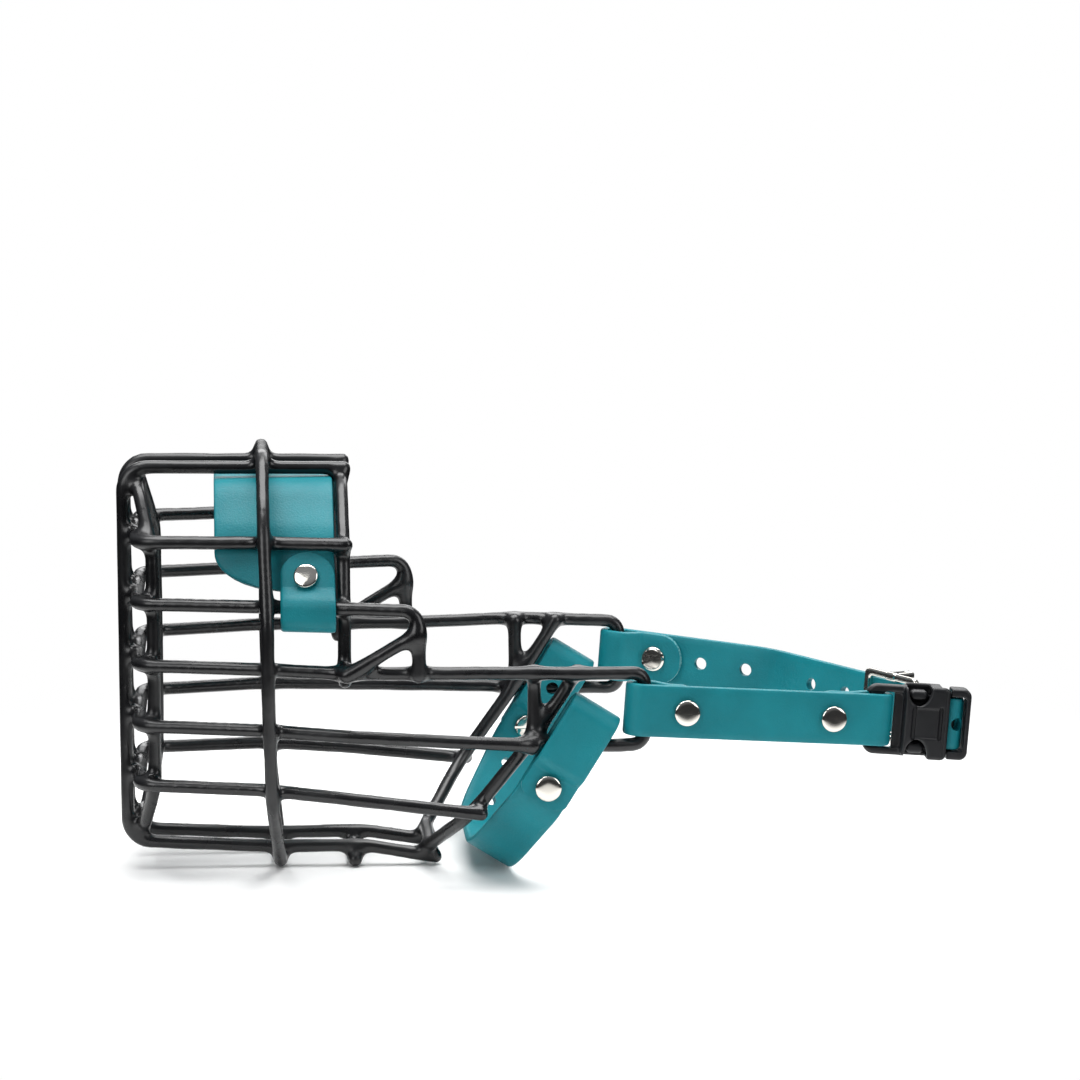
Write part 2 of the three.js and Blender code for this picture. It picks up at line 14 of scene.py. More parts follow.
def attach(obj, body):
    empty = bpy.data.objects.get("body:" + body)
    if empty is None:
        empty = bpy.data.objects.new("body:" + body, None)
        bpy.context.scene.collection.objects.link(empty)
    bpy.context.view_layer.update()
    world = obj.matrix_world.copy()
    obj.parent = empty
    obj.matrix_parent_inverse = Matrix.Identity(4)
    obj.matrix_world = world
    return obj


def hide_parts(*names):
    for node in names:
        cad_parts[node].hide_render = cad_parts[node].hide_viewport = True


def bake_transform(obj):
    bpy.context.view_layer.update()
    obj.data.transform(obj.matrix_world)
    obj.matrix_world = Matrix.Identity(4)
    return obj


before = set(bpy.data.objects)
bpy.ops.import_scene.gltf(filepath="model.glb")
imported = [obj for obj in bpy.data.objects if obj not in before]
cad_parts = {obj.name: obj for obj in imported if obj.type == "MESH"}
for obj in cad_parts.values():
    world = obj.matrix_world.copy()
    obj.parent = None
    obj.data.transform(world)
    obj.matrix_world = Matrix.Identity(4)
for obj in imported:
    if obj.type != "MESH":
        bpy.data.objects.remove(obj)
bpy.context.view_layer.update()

# %% [markdown]
# The camera stands well back on the muzzle's left, a little above it. A long lens from far away keeps the two
# sides of the basket nearly the same size, as a catalogue picture does.

# %% Camera
VIEW_CENTRE = Vector((0.026, 0, 0.0766))
VIEW_DISTANCE = 1.635
VIEW_AZIMUTH, VIEW_ELEVATION, VIEW_ROLL = (math.radians(a) for a in (-1.461, 9.738, -0.584))
SENSOR = 36
FOCAL = 152.4  # millimetres
AIM_RIGHT, AIM_UP = 0.04138, 0.02328  # tangents from the basket's middle to the middle of the frame

back = Vector((
    math.sin(VIEW_AZIMUTH) * math.cos(VIEW_ELEVATION),
    -math.cos(VIEW_AZIMUTH) * math.cos(VIEW_ELEVATION),
    math.sin(VIEW_ELEVATION),
))
level_right = (-back).cross(Vector((0, 0, 1))).normalized()
level_up = level_right.cross(-back)
view_right = level_right * math.cos(VIEW_ROLL) + level_up * math.sin(VIEW_ROLL)
view_up = level_up * math.cos(VIEW_ROLL) - level_right * math.sin(VIEW_ROLL)
axis = (-back + view_right * AIM_RIGHT + view_up * AIM_UP).normalized()
up = (view_up - axis * view_up.dot(axis)).normalized()
right = axis.cross(up)

camera_data = bpy.data.cameras.new("camera")
camera_data.lens = FOCAL
camera_data.sensor_width = SENSOR
camera_data.clip_end = 50
camera = bpy.data.objects.new("camera", camera_data)
bpy.context.scene.collection.objects.link(camera)
bpy.context.scene.camera = camera
turn = Matrix((right, up, -axis)).transposed()
camera.matrix_world = Matrix.Translation(VIEW_CENTRE + back * VIEW_DISTANCE) @ turn.to_4x4()
print("camera at", [round(c, 3) for c in camera.location])

# %% [markdown]
# Colours are written as sRGB hex values, the way a colour chart gives them, and one function turns them into
# the linear values that shaders work in. The rest add shader nodes with their settings and links, so that
# each material below reads as a list of what it is made of. A noise's scale is per metre.

# %% Material helpers
def linear(hex_colour):
    channels = [int(hex_colour[i:i + 2], 16) / 255 for i in (1, 3, 5)]
    return tuple(c / 12.92 if c <= 0.04045 else ((c + 0.055) / 1.055) ** 2.4 for c in channels) + (1.0,)


def add_node(tree, kind, inputs=None, **settings):
    node = tree.nodes.new(kind)
    for key, value in settings.items():
        setattr(node, key, value)
    for key, value in (inputs or {}).items():
        if isinstance(value, bpy.types.NodeSocket):
            tree.links.new(value, node.inputs[key])
        else:
            node.inputs[key].default_value = value
    return node


def new_material(name):
    """A new material, its empty node tree, and the socket that gives each point's place on the piece."""
    material = bpy.data.materials.new(name)
    material.use_nodes = True
    tree = material.node_tree
    tree.nodes.clear()
    return material, tree, add_node(tree, "ShaderNodeTexCoord").outputs["Object"]


def finish_material(tree, shader):
    add_node(tree, "ShaderNodeOutputMaterial", {"Surface": shader.outputs[0]})


def noise(tree, place, scale, detail):
    node = add_node(tree, "ShaderNodeTexNoise", {"Vector": place, "Scale": scale, "Detail": detail})
    return node.outputs["Fac"]


def ramp(tree, factor, low, high, low_colour, high_colour):
    node = add_node(tree, "ShaderNodeValToRGB", {"Fac": factor})
    first, second = node.color_ramp.elements
    first.position, second.position = low, high
    first.color, second.color = linear(low_colour), linear(high_colour)
    return node.outputs["Color"]


def remap(tree, value, low, high, new_low, new_high):
    node = add_node(tree, "ShaderNodeMapRange", {
        "Value": value, "From Min": low, "From Max": high, "To Min": new_low, "To Max": new_high,
    })
    return node.outputs["Result"]


def bump(tree, height, strength, distance, under=None):
    """Relief from a height, laid over the relief of an earlier bump where one is given."""
    inputs = {"Height": height, "Strength": strength, "Distance": distance}
    if under is not None:
        inputs["Normal"] = under
    return add_node(tree, "ShaderNodeBump", inputs).outputs["Normal"]


# %% [markdown]
# **Plastisol.** The basket is heated and dipped in liquid PVC, which cures to a soft black skin. It is shiny
# but never quite even: the surface has a faint orange peel of a millimetre or so, and slow waves where the
# liquid ran before it set. The waves bend the long highlights along each wire. A skin this dark shows almost
# only its reflections, so the roughness matters more than the colour.

# %% Dip coat material
def make_dip_coat():
    material, tree, place = new_material("plastisol_dip_coat")
    dust = noise(tree, place, 60, 4)
    peel = bump(tree, noise(tree, place, 700, 2), 0.12, 0.00005)
    runs = bump(tree, noise(tree, place, 140, 1), 0.12, 0.0006, peel)
    finish_material(tree, add_node(tree, "ShaderNodeBsdfPrincipled", {
        "Base Color": ramp(tree, dust, 0.35, 0.75, "#0b0b0d", "#141416"),
        "Roughness": remap(tree, dust, 0.3, 0.7, 0.22, 0.36), "IOR": 1.53, "Normal": runs,
    }))
    return material


# %% [markdown]
# **Coated webbing.** The straps are polyester webbing inside a thick, smooth jacket of coloured soft plastic.
# The jacket is satin, with a very fine grain, and the weave inside only just shows as a soft unevenness.
# Where a strap is cut or punched, the pale threads of the core show between the two skins.

# %% Webbing materials
THREAD = 0.0011  # metres between the core's threads


def make_webbing():
    material, tree, place = new_material("coated_webbing")
    grain = noise(tree, place, 1500, 4)
    weave = add_node(tree, "ShaderNodeTexVoronoi", {"Vector": place, "Scale": 1 / THREAD, "Randomness": 0.6})
    cloud = noise(tree, place, 45, 3)
    fine = bump(tree, grain, 0.9, 0.00014)
    soft = bump(tree, weave.outputs["Distance"], 0.12, 0.00008, fine)
    finish_material(tree, add_node(tree, "ShaderNodeBsdfPrincipled", {
        "Base Color": ramp(tree, cloud, 0.3, 0.7, "#066f79", "#0a7f89"),
        "Roughness": remap(tree, grain, 0.3, 0.7, 0.42, 0.56), "IOR": 1.37,
        "Normal": bump(tree, cloud, 0.5, 0.0006, soft),
        "Subsurface Weight": 0.06, "Subsurface Scale": 0.001,
    }))
    return material


def make_core():
    material, tree, place = new_material("webbing_core_threads")
    cells = add_node(tree, "ShaderNodeTexVoronoi", {"Vector": place, "Scale": 2 / THREAD})
    threads = cells.outputs["Distance"]
    finish_material(tree, add_node(tree, "ShaderNodeBsdfPrincipled", {
        "Base Color": ramp(tree, threads, 0.15, 0.6, "#8fc9cb", "#2d7f86"),
        "Roughness": 0.85, "Normal": bump(tree, threads, 0.8, 0.0002),
    }))
    return material


# %% [markdown]
# **Nickel plate and acetal.** The screws and the slide are plated and polished. They mirror the room, with
# faint swirls from handling. The buckle is injection-moulded acetal: near black, a spark-eroded matt grain on
# its broad faces.

# %% Metal and plastic materials
def make_nickel():
    material, tree, place = new_material("polished_nickel_plate")
    rubbed = noise(tree, place, 420, 5)
    finish_material(tree, add_node(tree, "ShaderNodeBsdfPrincipled", {
        "Base Color": linear("#d9d5cd"), "Metallic": 1.0,
        "Roughness": remap(tree, rubbed, 0.35, 0.7, 0.05, 0.13), "Normal": bump(tree, rubbed, 0.05, 0.00003),
    }))
    return material


def make_acetal():
    material, tree, place = new_material("moulded_acetal")
    rough = remap(tree, noise(tree, place, 90, 3), 0.3, 0.7, 0.36, 0.5)
    finish_material(tree, add_node(tree, "ShaderNodeBsdfPrincipled", {
        "Base Color": linear("#111215"), "Roughness": rough, "IOR": 1.44,
        "Normal": bump(tree, noise(tree, place, 3000, 2), 0.3, 0.00005),
    }))
    return material


dip_coat = make_dip_coat()
webbing = make_webbing()
core = make_core()
nickel = make_nickel()
acetal = make_acetal()
print("materials:", [m.name for m in (dip_coat, webbing, core, nickel, acetal)])

# %% [markdown]
# Every shape below is worked out in millimetres, as its drawing would be, and becomes a mesh in metres. Three
# small functions place it: the basket is drawn from its nose bars backwards, and the neck strap and throat
# strap are drawn square and then tilted, each about the bars that it hangs from.

# %% Places
MM = 0.001
FOOT_X = 54  # from the nose bars back to the middle hoop's foot, the frame's origin
BAR_X, BAR_Y = 180.5, 55  # the D-loops' end bars
LOOP_TOP_Z, LOOP_LOW_Z, LOOP_Y = 75.3, 50.2, 57
NECK_DROOP = math.radians(4.5)
THROAT_LEAN = math.radians(32)
THROAT_X = 155.3


def tilt(points, angle, origin):
    """Turns points about Y and moves them from their own origin, in the basket's millimetres."""
    x, y, z = np.asarray(points, float).T
    c, s = math.cos(angle), math.sin(angle)
    return np.stack([x * c + z * s, y, z * c - x * s], -1) + origin


def in_basket(points):
    return np.asarray(points, float) - (FOOT_X, 0, 0)


def in_neck(points):
    return in_basket(tilt(points, NECK_DROOP, (BAR_X, 0, (LOOP_TOP_Z + LOOP_LOW_Z) / 2)))


def in_throat(points):
    return in_basket(tilt(points, THROAT_LEAN, (THROAT_X, 0, LOOP_LOW_Z)))


def direction(place, vector):
    """A direction drawn in one of the frames above, in the frame's own axes."""
    ends = place([(0, 0, 0), vector])
    return Vector(ends[1] - ends[0]).normalized()


def new_object(name, points, faces, *materials):
    mesh = bpy.data.meshes.new(name)
    mesh.from_pydata((np.asarray(points) * MM).tolist(), [], faces)
    mesh.validate()
    for material in materials:
        mesh.materials.append(material)
    piece = bpy.data.objects.new(name, mesh)
    bpy.context.scene.collection.objects.link(piece)
    return piece


def shade_smooth(piece, angle=40):
    piece.data.shade_smooth()
    piece.data.set_sharp_from_angle(angle=math.radians(angle))


# %% [markdown]
# A bent wire or strap is drawn as a list of corners, each rounded to a radius, which is how it is bent on a
# jig. The same rule gives every route in this lesson.

# %% Bending
BEND_STEP = math.radians(7)
STRAIGHT = 1e-4  # a corner that turns by less than this stays as it is


def bend(corners, radius, closed=False):
    points = [np.array(corner[:3], float) for corner in corners]
    count = len(points)
    route = [] if closed else [points[0]]
    for i in range(0 if closed else 1, count if closed else count - 1):
        before, here, after = points[i - 1], points[i], points[(i + 1) % count]
        into = (here - before) / np.linalg.norm(here - before)
        out = (after - here) / np.linalg.norm(after - here)
        angle = math.acos(max(-1, min(1, into @ out)))
        r = corners[i][3] if len(corners[i]) > 3 else radius
        if angle < STRAIGHT:
            route.append(here)
            continue
        start = here - into * r * math.tan(angle / 2)
        towards = out - into * (out @ into)
        towards /= np.linalg.norm(towards)
        steps = max(1, math.ceil(angle / BEND_STEP))
        for a in (angle * k / steps for k in range(steps + 1)):
            route.append(start + into * r * math.sin(a) + towards * r * (1 - math.cos(a)))
    route.append(route[0] if closed else points[-1])
    return np.array(route)


def route_length(route):
    return np.linalg.norm(np.diff(route, axis=0), axis=1).sum()


def both_sides(corners):
    return corners + [(x, -y, *rest) for x, y, *rest in reversed(corners)]


# %% [markdown]
# ## The dipped basket
# The wires are welded where they cross and dipped together, so the coating is one skin. It rounds every wire
# end, thickens where wires lie together and leaves a small web in each corner. No sweep along a curve makes
# those webs. A distance field does: at every point of a fine grid it holds how far the nearest wire is, and
# a smooth minimum of two wires' distances fills the corner between them, as surface tension does.

# %% Distance fields
class Field:
    """A grid of distances, negative inside the shape, in millimetres."""

    def __init__(self, low, high, voxel):
        self.voxel = voxel
        self.low = np.array(low, float) - 3 * voxel
        self.shape = np.ceil((np.array(high) - self.low) / voxel).astype(int) + 4
        self.axes = [self.low[i] + voxel * np.arange(self.shape[i]) for i in range(3)]

    def window(self, low, high):
        first = np.clip(np.floor((np.array(low) - self.low) / self.voxel).astype(int), 0, self.shape)
        last = np.clip(np.ceil((np.array(high) - self.low) / self.voxel).astype(int) + 1, 0, self.shape)
        return tuple(slice(a, b) for a, b in zip(first, last))

    def grid(self, window=(slice(None),) * 3):
        x, y, z = (a[w] for a, w in zip(self.axes, window))
        return x[:, None, None], y[None, :, None], z[None, None, :]


def smooth_minimum(a, b, width):
    h = np.clip(0.5 + 0.5 * (b - a) / width, 0, 1)
    return b + (a - b) * h - width * h * (1 - h)


def rounded_block(grid, low, high, r):
    """The distance to a block with every edge rounded to r."""
    inner = [np.abs(g - (a + b) / 2) - ((b - a) / 2 - r) for g, a, b in zip(grid, low, high)]
    outside = np.sqrt(sum(np.maximum(d, 0) ** 2 for d in inner))
    inside = np.minimum(np.maximum(np.maximum(inner[0], inner[1]), inner[2]), 0)
    return outside + inside - r


def past_both(a, b):
    """The distance to the corner of two half spaces, given how far a point is past each."""
    return np.hypot(np.maximum(a, 0), np.maximum(b, 0)) + np.minimum(np.maximum(a, b), 0)


def rounded_plate(grid, low, high, corner, r):
    """The distance to a plate in X and Z with its corners rounded to corner and its edges to r."""
    x, y, z = grid
    px = np.abs(x - (low[0] + high[0]) / 2) - ((high[0] - low[0]) / 2 - corner)
    pz = np.abs(z - (low[2] + high[2]) / 2) - ((high[2] - low[2]) / 2 - corner)
    face = np.abs(y - (low[1] + high[1]) / 2) - ((high[1] - low[1]) / 2 - r)
    return past_both(past_both(px, pz) - corner + r, face) - r


def without(body, tool, width=0.5):
    return -smooth_minimum(-body, tool, width)


CELL_CORNERS = list(np.ndindex(2, 2, 2))


def net_surface(field, values):
    """The zero surface of the field as vertices and four-sided faces, one vertex in each crossed cell."""
    inside = values < 0
    n = np.array(values.shape)
    shifted = [inside[i:n[0] - 1 + i, j:n[1] - 1 + j, k:n[2] - 1 + k] for i, j, k in CELL_CORNERS]
    count = sum(s.astype(np.int8) for s in shifted)
    mixed = (count > 0) & (count < 8)
    cells = np.argwhere(mixed)
    number = -np.ones(mixed.shape, np.int64)
    number[mixed] = np.arange(len(cells))
    total = np.zeros((len(cells), 3))
    crossings = np.zeros(len(cells))
    for a in CELL_CORNERS:
        for axis_number in range(3):
            if a[axis_number]:
                continue
            b = tuple(1 if i == axis_number else v for i, v in enumerate(a))
            va = values[tuple((cells + a).T)]
            vb = values[tuple((cells + b).T)]
            crossed = (va < 0) != (vb < 0)
            share = np.where(crossed, va / np.where(crossed, va - vb, 1), 0)
            point = np.array(a) + share[:, None] * (np.array(b) - np.array(a))
            total += np.where(crossed[:, None], point, 0)
            crossings += crossed
    points = field.low + field.voxel * (cells + total / crossings[:, None])
    faces = []
    for axis_number in range(3):
        ends = [slice(0, -1) if i == axis_number else slice(1, -1) for i in range(3)]
        nexts = [slice(1, None) if i == axis_number else slice(1, -1) for i in range(3)]
        here, there = inside[tuple(ends)], inside[tuple(nexts)]
        edges = np.argwhere(here != there)
        offset = np.array([0 if i == axis_number else 1 for i in range(3)])
        edges_at = edges + offset
        u, v = (axis_number + 1) % 3, (axis_number + 2) % 3
        ring = []
        for du, dv in ((-1, -1), (0, -1), (0, 0), (-1, 0)):
            cell = edges_at.copy()
            cell[:, u] += du
            cell[:, v] += dv
            ring.append(number[tuple(cell.T)])
        quads = np.stack(ring, -1)
        outward = here[tuple(edges.T)]
        quads[~outward] = quads[~outward][:, ::-1]
        faces.append(quads)
    return points, np.concatenate(faces)


def sample(field, values, points):
    place = np.clip((points - field.low) / field.voxel, 0, np.array(values.shape) - 1.001)
    base = place.astype(int)
    part = place - base
    result = 0
    for offset in CELL_CORNERS:
        weight = np.prod([part[:, i] if o else 1 - part[:, i] for i, o in enumerate(offset)], axis=0)
        result = result + weight * values[tuple((base + offset).T)]
    return result


SMALLEST_SLOPE = 0.2  # squared: where the field is flatter, a step along it would overshoot


def settle(field, values, points, rounds=2):
    """Moves the net's vertices onto the true surface, which takes the grid's steps away."""
    step = field.voxel * 0.6
    for _ in range(rounds):
        slope = np.stack([
            sample(field, values, points + shift) - sample(field, values, points - shift)
            for shift in np.eye(3) * step
        ], -1) / (2 * step)
        size = np.maximum((slope ** 2).sum(-1), SMALLEST_SLOPE)
        move = sample(field, values, points)[:, None] * slope / size[:, None]
        points = points - np.clip(move, -field.voxel / 2, field.voxel / 2)
    return points


def cast(name, field, values, place, material):
    points, faces = net_surface(field, values.astype(float))
    points = settle(field, values, points)
    piece = new_object(name, place(points), faces.tolist(), material)
    piece.data.shade_smooth()
    print(name, "has", len(points), "vertices")
    return piece


# %% [markdown]
# The wires' routes are the frame's own. Each is given once, for its right half, and mirrored.

# %% Wire routes
LAY = 4.7  # centre to centre where one wire lies on another
FLOOR_Z = 2.2
RAIL_Z = FLOOR_Z + LAY
HOOP_X, ARCH_X, STEP_X, POST_X = 50, 76.6, 102, 142
NOSE_BEND = 8


def top_z(x):
    return 143.6 - 0.0157 * x


def level(corner, back):
    return bend(both_sides(back + [(LAY, *corner, NOSE_BEND)]), 60)


def side_wires(s):
    centre = [
        (ARCH_X + 1.2, s * 10.7, top_z(ARCH_X + 1.2)), (0, s * 10.7, top_z(0)), (0, s * 10.7, 9.6),
        (HOOP_X, s * 11.6, RAIL_Z, 60), (84, s * 12.9, RAIL_Z, 40), (109.2, s * 14, 2.6),
    ]
    post = [(POST_X, s * 54.2, 54.5), (POST_X, s * 54.4, 76)]
    brace = [(77.2, s * 57, 76.1), (100.6, s * 58.4, 90.1)]
    return [bend(centre, 8.5), np.array(post, float), np.array(brace, float)]


middle_hoop = both_sides([
    (FOOT_X, 15.5, FLOOR_Z, 6), (51, 50.2, 30, 14), (HOOP_X, 53.9, 72, 60), (HOOP_X, 53.7, 94, 40),
    (49, 42.8, 128, 30), (49, 20, top_z(49) + LAY, 16),
])
front_hoop = both_sides([
    (5.9, 14.5, 15.8, 10), (10.2, 30.2, 33, 14), (10.4, 32.2, 80, 90), (10.2, 29.8, 117, 15),
    (5.4, 14.5, 136.9, 12),
])
wires = side_wires(1) + side_wires(-1) + [
    bend(middle_hoop, 10, closed=True),
    bend(front_hoop, 10, closed=True),
    bend(both_sides([
        (ARCH_X, 48.3, 72.5), (ARCH_X, 48.1, 99, 40), (ARCH_X, 41.6, 120.5, 20),
        (ARCH_X, 19, top_z(ARCH_X) - LAY, 14),
    ]), 10),
    bend(both_sides([
        (156.9, 53.9, 75.9), (141.5, 52.7, 52, 60), (120.5, 46, 24.5, 25), (107, 17, 7.8, 8),
    ]), 10),
    np.array([(80.5, 16, FLOOR_Z), (80.5, -16, FLOOR_Z)], float),
    level((33.6, 120.1), [(ARCH_X + 0.8, 46.4, 120.2), (HOOP_X, 39.6, 120.1)]),
    level((36.3, 98.8), [
        (STEP_X, 58.4, 75.9), (STEP_X, 58.7, 98.6, 6), (77, 53, 98.8), (HOOP_X, 46.6, 98.8),
    ]),
    level((36.1, 77.1), [
        (POST_X + 0.3, 57.9, 50.8), (150, LOOP_Y, LOOP_LOW_Z, 30), (170, LOOP_Y, LOOP_LOW_Z, 30),
        (BAR_X, BAR_Y, LOOP_LOW_Z, 4.5), (BAR_X, BAR_Y, LOOP_TOP_Z, 4.5), (157, 58.5, 75.9, 60),
        (POST_X, 58.8, 76.4), (STEP_X, 54, 76, 80), (77, 53.6, 76.2), (HOOP_X, 48.4, 77.1),
    ]),
    level((35.5, 55.6), [
        (POST_X - 0.3, 57.9, 50.8), (120, 56.8, 51.8), (77, 52.6, 53.8), (HOOP_X, 47.3, 55.4),
    ]),
    level((34.7, 34.5), [(123.6, 51.3, 25.4), (77, 48.4, 31), (HOOP_X, 44.2, 33.7)]),
]
print("wires:", len(wires), "with", round(sum(map(route_length, wires)) * MM, 2), "metres in all")

# %% [markdown]
# Each wire's distance is worked out only near that wire, which keeps the fine grid quick. The skin is then
# made slightly uneven, as the liquid left it, and cleared out where the throat strap has to swing.

# %% Dip the basket
COAT_RADIUS = 2.35
COAT_WEB = 4.7  # width over which two wires' coatings run together
COAT_VOXEL = 0.92
COAT_RIPPLE = 0.07
FAR = 9.0  # a distance beyond which nothing matters
NEAR = FAR - 1.5  # how far round a piece of wire its distances are worked out
PIECE = 16  # longest piece of wire that is worked out at once


def wire_distance(field, route):
    """The distance to one wire's middle line, worked out only near it."""
    near = np.full(field.shape, FAR, np.float32)
    for a, b in zip(route[:-1], route[1:]):
        pieces = max(1, math.ceil(np.linalg.norm(b - a) / PIECE))
        for k in range(pieces):
            p, q = a + (b - a) * k / pieces, a + (b - a) * (k + 1) / pieces
            window = field.window(np.minimum(p, q) - NEAR, np.maximum(p, q) + NEAR)
            d = q - p
            offsets = [g - start for g, start in zip(field.grid(window), p)]
            share = np.clip(sum(o * run for o, run in zip(offsets, d)) / (d @ d), 0, 1)
            distance = np.sqrt(sum((o - share * run) ** 2 for o, run in zip(offsets, d)))
            near[window] = np.minimum(near[window], distance)
    return near


def dip(field, routes):
    skin = np.full(field.shape, FAR, np.float32)
    for route in routes:
        window = field.window(route.min(0) - FAR, route.max(0) + FAR)
        distance = wire_distance(field, route)[window] - COAT_RADIUS
        skin[window] = smooth_minimum(skin[window], distance, COAT_WEB)
    x, y, z = field.grid()
    uneven = np.sin(0.31 * x + 1.3) * np.sin(0.37 * y + 0.4) * np.sin(0.29 * z)
    return skin - (COAT_RIPPLE * uneven).astype(np.float32)


# In the throat strap's own directions, Y outwards from its wire: round each leg under the wire, and round the
# inner ply beside it.
LEG_ROOM = ((-9.9, -6.5, -24), (9.9, 6.5, -4.2))
INNER_PLY_ROOM = ((-9.9, -6.2, -6), (9.9, -2.6, 9))


def make_room(field, skin):
    """Keeps the webs clear of the throat strap, from just under its folds to the end of its swing."""
    c, s = math.cos(THROAT_LEAN), math.sin(THROAT_LEAN)
    for side in (-1, 1):
        near, far = sorted((side * 50, side * 64))
        window = field.window((THROAT_X - 30, near, LOOP_LOW_Z - 25), (THROAT_X + 20, far, LOOP_LOW_Z + 8))
        x, y, z = field.grid(window)
        x, z = x - THROAT_X, z - LOOP_LOW_Z
        strap_grid = (x * c - z * s, side * y - LOOP_Y, z * c + x * s)
        for low, high in (LEG_ROOM, INNER_PLY_ROOM):
            skin[window] = without(skin[window], rounded_block(strap_grid, low, high, 0.3), 0.8)
    return skin


every_point = np.concatenate(wires)
basket_field = Field(every_point.min(0) - 4, every_point.max(0) + 4, COAT_VOXEL)
skin = make_room(basket_field, dip(basket_field, wires))
basket = cast("basket_dip_coat", basket_field, skin, in_basket, dip_coat)
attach(basket, "basket")
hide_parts(*[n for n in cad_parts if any(
    word in n for word in ("wire", "hoop", "arch", "cheek_post", "step_brace"))])

# %% [markdown]
# ## Straps
# A strap is its cross-section carried along its route. The long edges are rounded by the jacket. The ends are
# cut with a round punch, so there the section narrows along a quarter circle, its edge is square and the
# core's threads show in the middle of it.

# %% Strap builder
STRAP = 2.6
STRAP_WIDTH = 18.4
PLY = STRAP + 0.3
EDGE_ROUND = 1.0
CUT_ROUND = 0.25
SKIN = 0.55  # thickness of the jacket over the core at a cut
ACROSS = 9  # points across each broad face
STRAP_STEP = 1.6
END_TIP = 2.4  # width left at the very tip of a round end
SQUARE_SHARE = 0.6  # how much of a round end keeps a cut, square edge


def side_profile(half_width, edge, sign):
    """One edge of the section, from the lower face to the upper, as (across, through) pairs."""
    half = STRAP / 2
    core_half = min(half - SKIN, half - edge - 0.05)
    lower = [(half_width - edge + edge * math.sin(a), -half + edge - edge * math.cos(a))
             for a in (0, math.pi / 4, math.pi / 2)]
    points = lower + [(half_width, -core_half), (half_width, core_half)]
    points += [(x, -y) for x, y in reversed(lower)]
    return [(sign * x, y) for x, y in points]


def section(low, high, edge):
    """The whole section as a ring. Its core face on each side is the middle one of that side's seven."""
    middle, half_width = (low + high) / 2, (high - low) / 2
    right_side = side_profile(half_width, edge, 1)
    left_side = side_profile(half_width, edge, -1)[::-1]
    inner = half_width - edge
    top = [(inner - 2 * inner * k / (ACROSS + 1), STRAP / 2) for k in range(1, ACROSS + 1)]
    bottom = [(-x, -y) for x, y in top]
    ring = right_side + top + left_side + bottom
    return [(x + middle, y) for x, y in ring]


SIDE_POINTS = 8
RING_POINTS = 2 * SIDE_POINTS + 2 * ACROSS
CORE_FACES = (SIDE_POINTS // 2 - 1, SIDE_POINTS + ACROSS + SIDE_POINTS // 2 - 1)


def resample(route, extra):
    """Adds points to a route at the given distances along it, and gives every point's distance."""
    at = np.concatenate([[0], np.cumsum(np.linalg.norm(np.diff(route, axis=0), axis=1))])
    keep = np.unique(np.round(np.concatenate([at, extra]), 5))
    keep = keep[np.concatenate([[True], np.diff(keep) > 0.02])]
    return np.stack([np.interp(keep, at, route[:, i]) for i in range(3)], -1), keep


def build_strap(name, route, across, place, low=None, high=None, round_end=8.6, warp=None):
    """A strap along route, its width along across. low and high give its edges where they vary."""
    total = route_length(route)
    quarter = round_end * (1 - np.cos(np.linspace(0, math.pi / 2, 10)))
    straight = np.arange(0, total, STRAP_STEP)
    route, at = resample(route, np.concatenate([quarter, total - quarter, straight, [total]]))
    across = np.array(across, float)
    tangent = np.gradient(route, at, axis=0)
    tangent -= np.outer(tangent @ across, across)
    tangent /= np.linalg.norm(tangent, axis=1)[:, None]
    through = np.cross(tangent, across)
    edges_low = low or (lambda s, p: -STRAP_WIDTH / 2)
    edges_high = high or (lambda s, p: STRAP_WIDTH / 2)
    points, faces, kinds = [], [], []
    for i, here in enumerate(route):
        end = min(at[i], at[-1] - at[i])
        a, b = edges_low(at[i], here), edges_high(at[i], here)
        narrow = round_end - math.sqrt(round_end ** 2 - max(0, round_end - end) ** 2)
        narrow = min(narrow, (b - a - END_TIP) / 2)
        blend = min(1, max(0, (end - round_end * SQUARE_SHARE) / (round_end * (1 - SQUARE_SHARE))))
        edge = CUT_ROUND + (EDGE_ROUND - CUT_ROUND) * blend
        for w, t in section(a + narrow, b - narrow, edge):
            points.append(here + across * w + through[i] * t)
        if i:
            base, last = i * RING_POINTS, (i - 1) * RING_POINTS
            for k in range(RING_POINTS):
                n = (k + 1) % RING_POINTS
                faces.append((last + k, last + n, base + n, base + k))
                kinds.append(1 if blend == 0 and k in CORE_FACES else 0)
    last = (len(route) - 1) * RING_POINTS
    for base, flip in ((0, True), (last, False)):
        ring = [base + k for k in range(RING_POINTS)]
        faces.append(ring[::-1] if flip else ring)
        kinds.append(1)
    points = np.array(points)
    if warp:
        points = warp(points)
    piece = new_object(name, place(points), faces, webbing, core)
    piece.data.polygons.foreach_set("material_index", kinds)
    return piece


HOLE = 2.3
HOLE_SIDES = 28


def circle(radius, z, sides):
    return [(radius * math.cos(a), radius * math.sin(a), z)
            for a in (2 * math.pi * k / sides for k in range(sides))]


def bake(piece):
    """Applies a piece's modifiers."""
    graph = bpy.context.evaluated_depsgraph_get()
    graph.update()
    plain = bpy.data.meshes.new_from_object(piece.evaluated_get(graph))
    piece.modifiers.clear()
    piece.data = plain


def cut_away(piece, cutter):
    cut = piece.modifiers.new("cut", "BOOLEAN")
    cut.object, cut.operation, cut.solver = cutter, "DIFFERENCE", "EXACT"
    bake(piece)
    bpy.data.objects.remove(cutter)


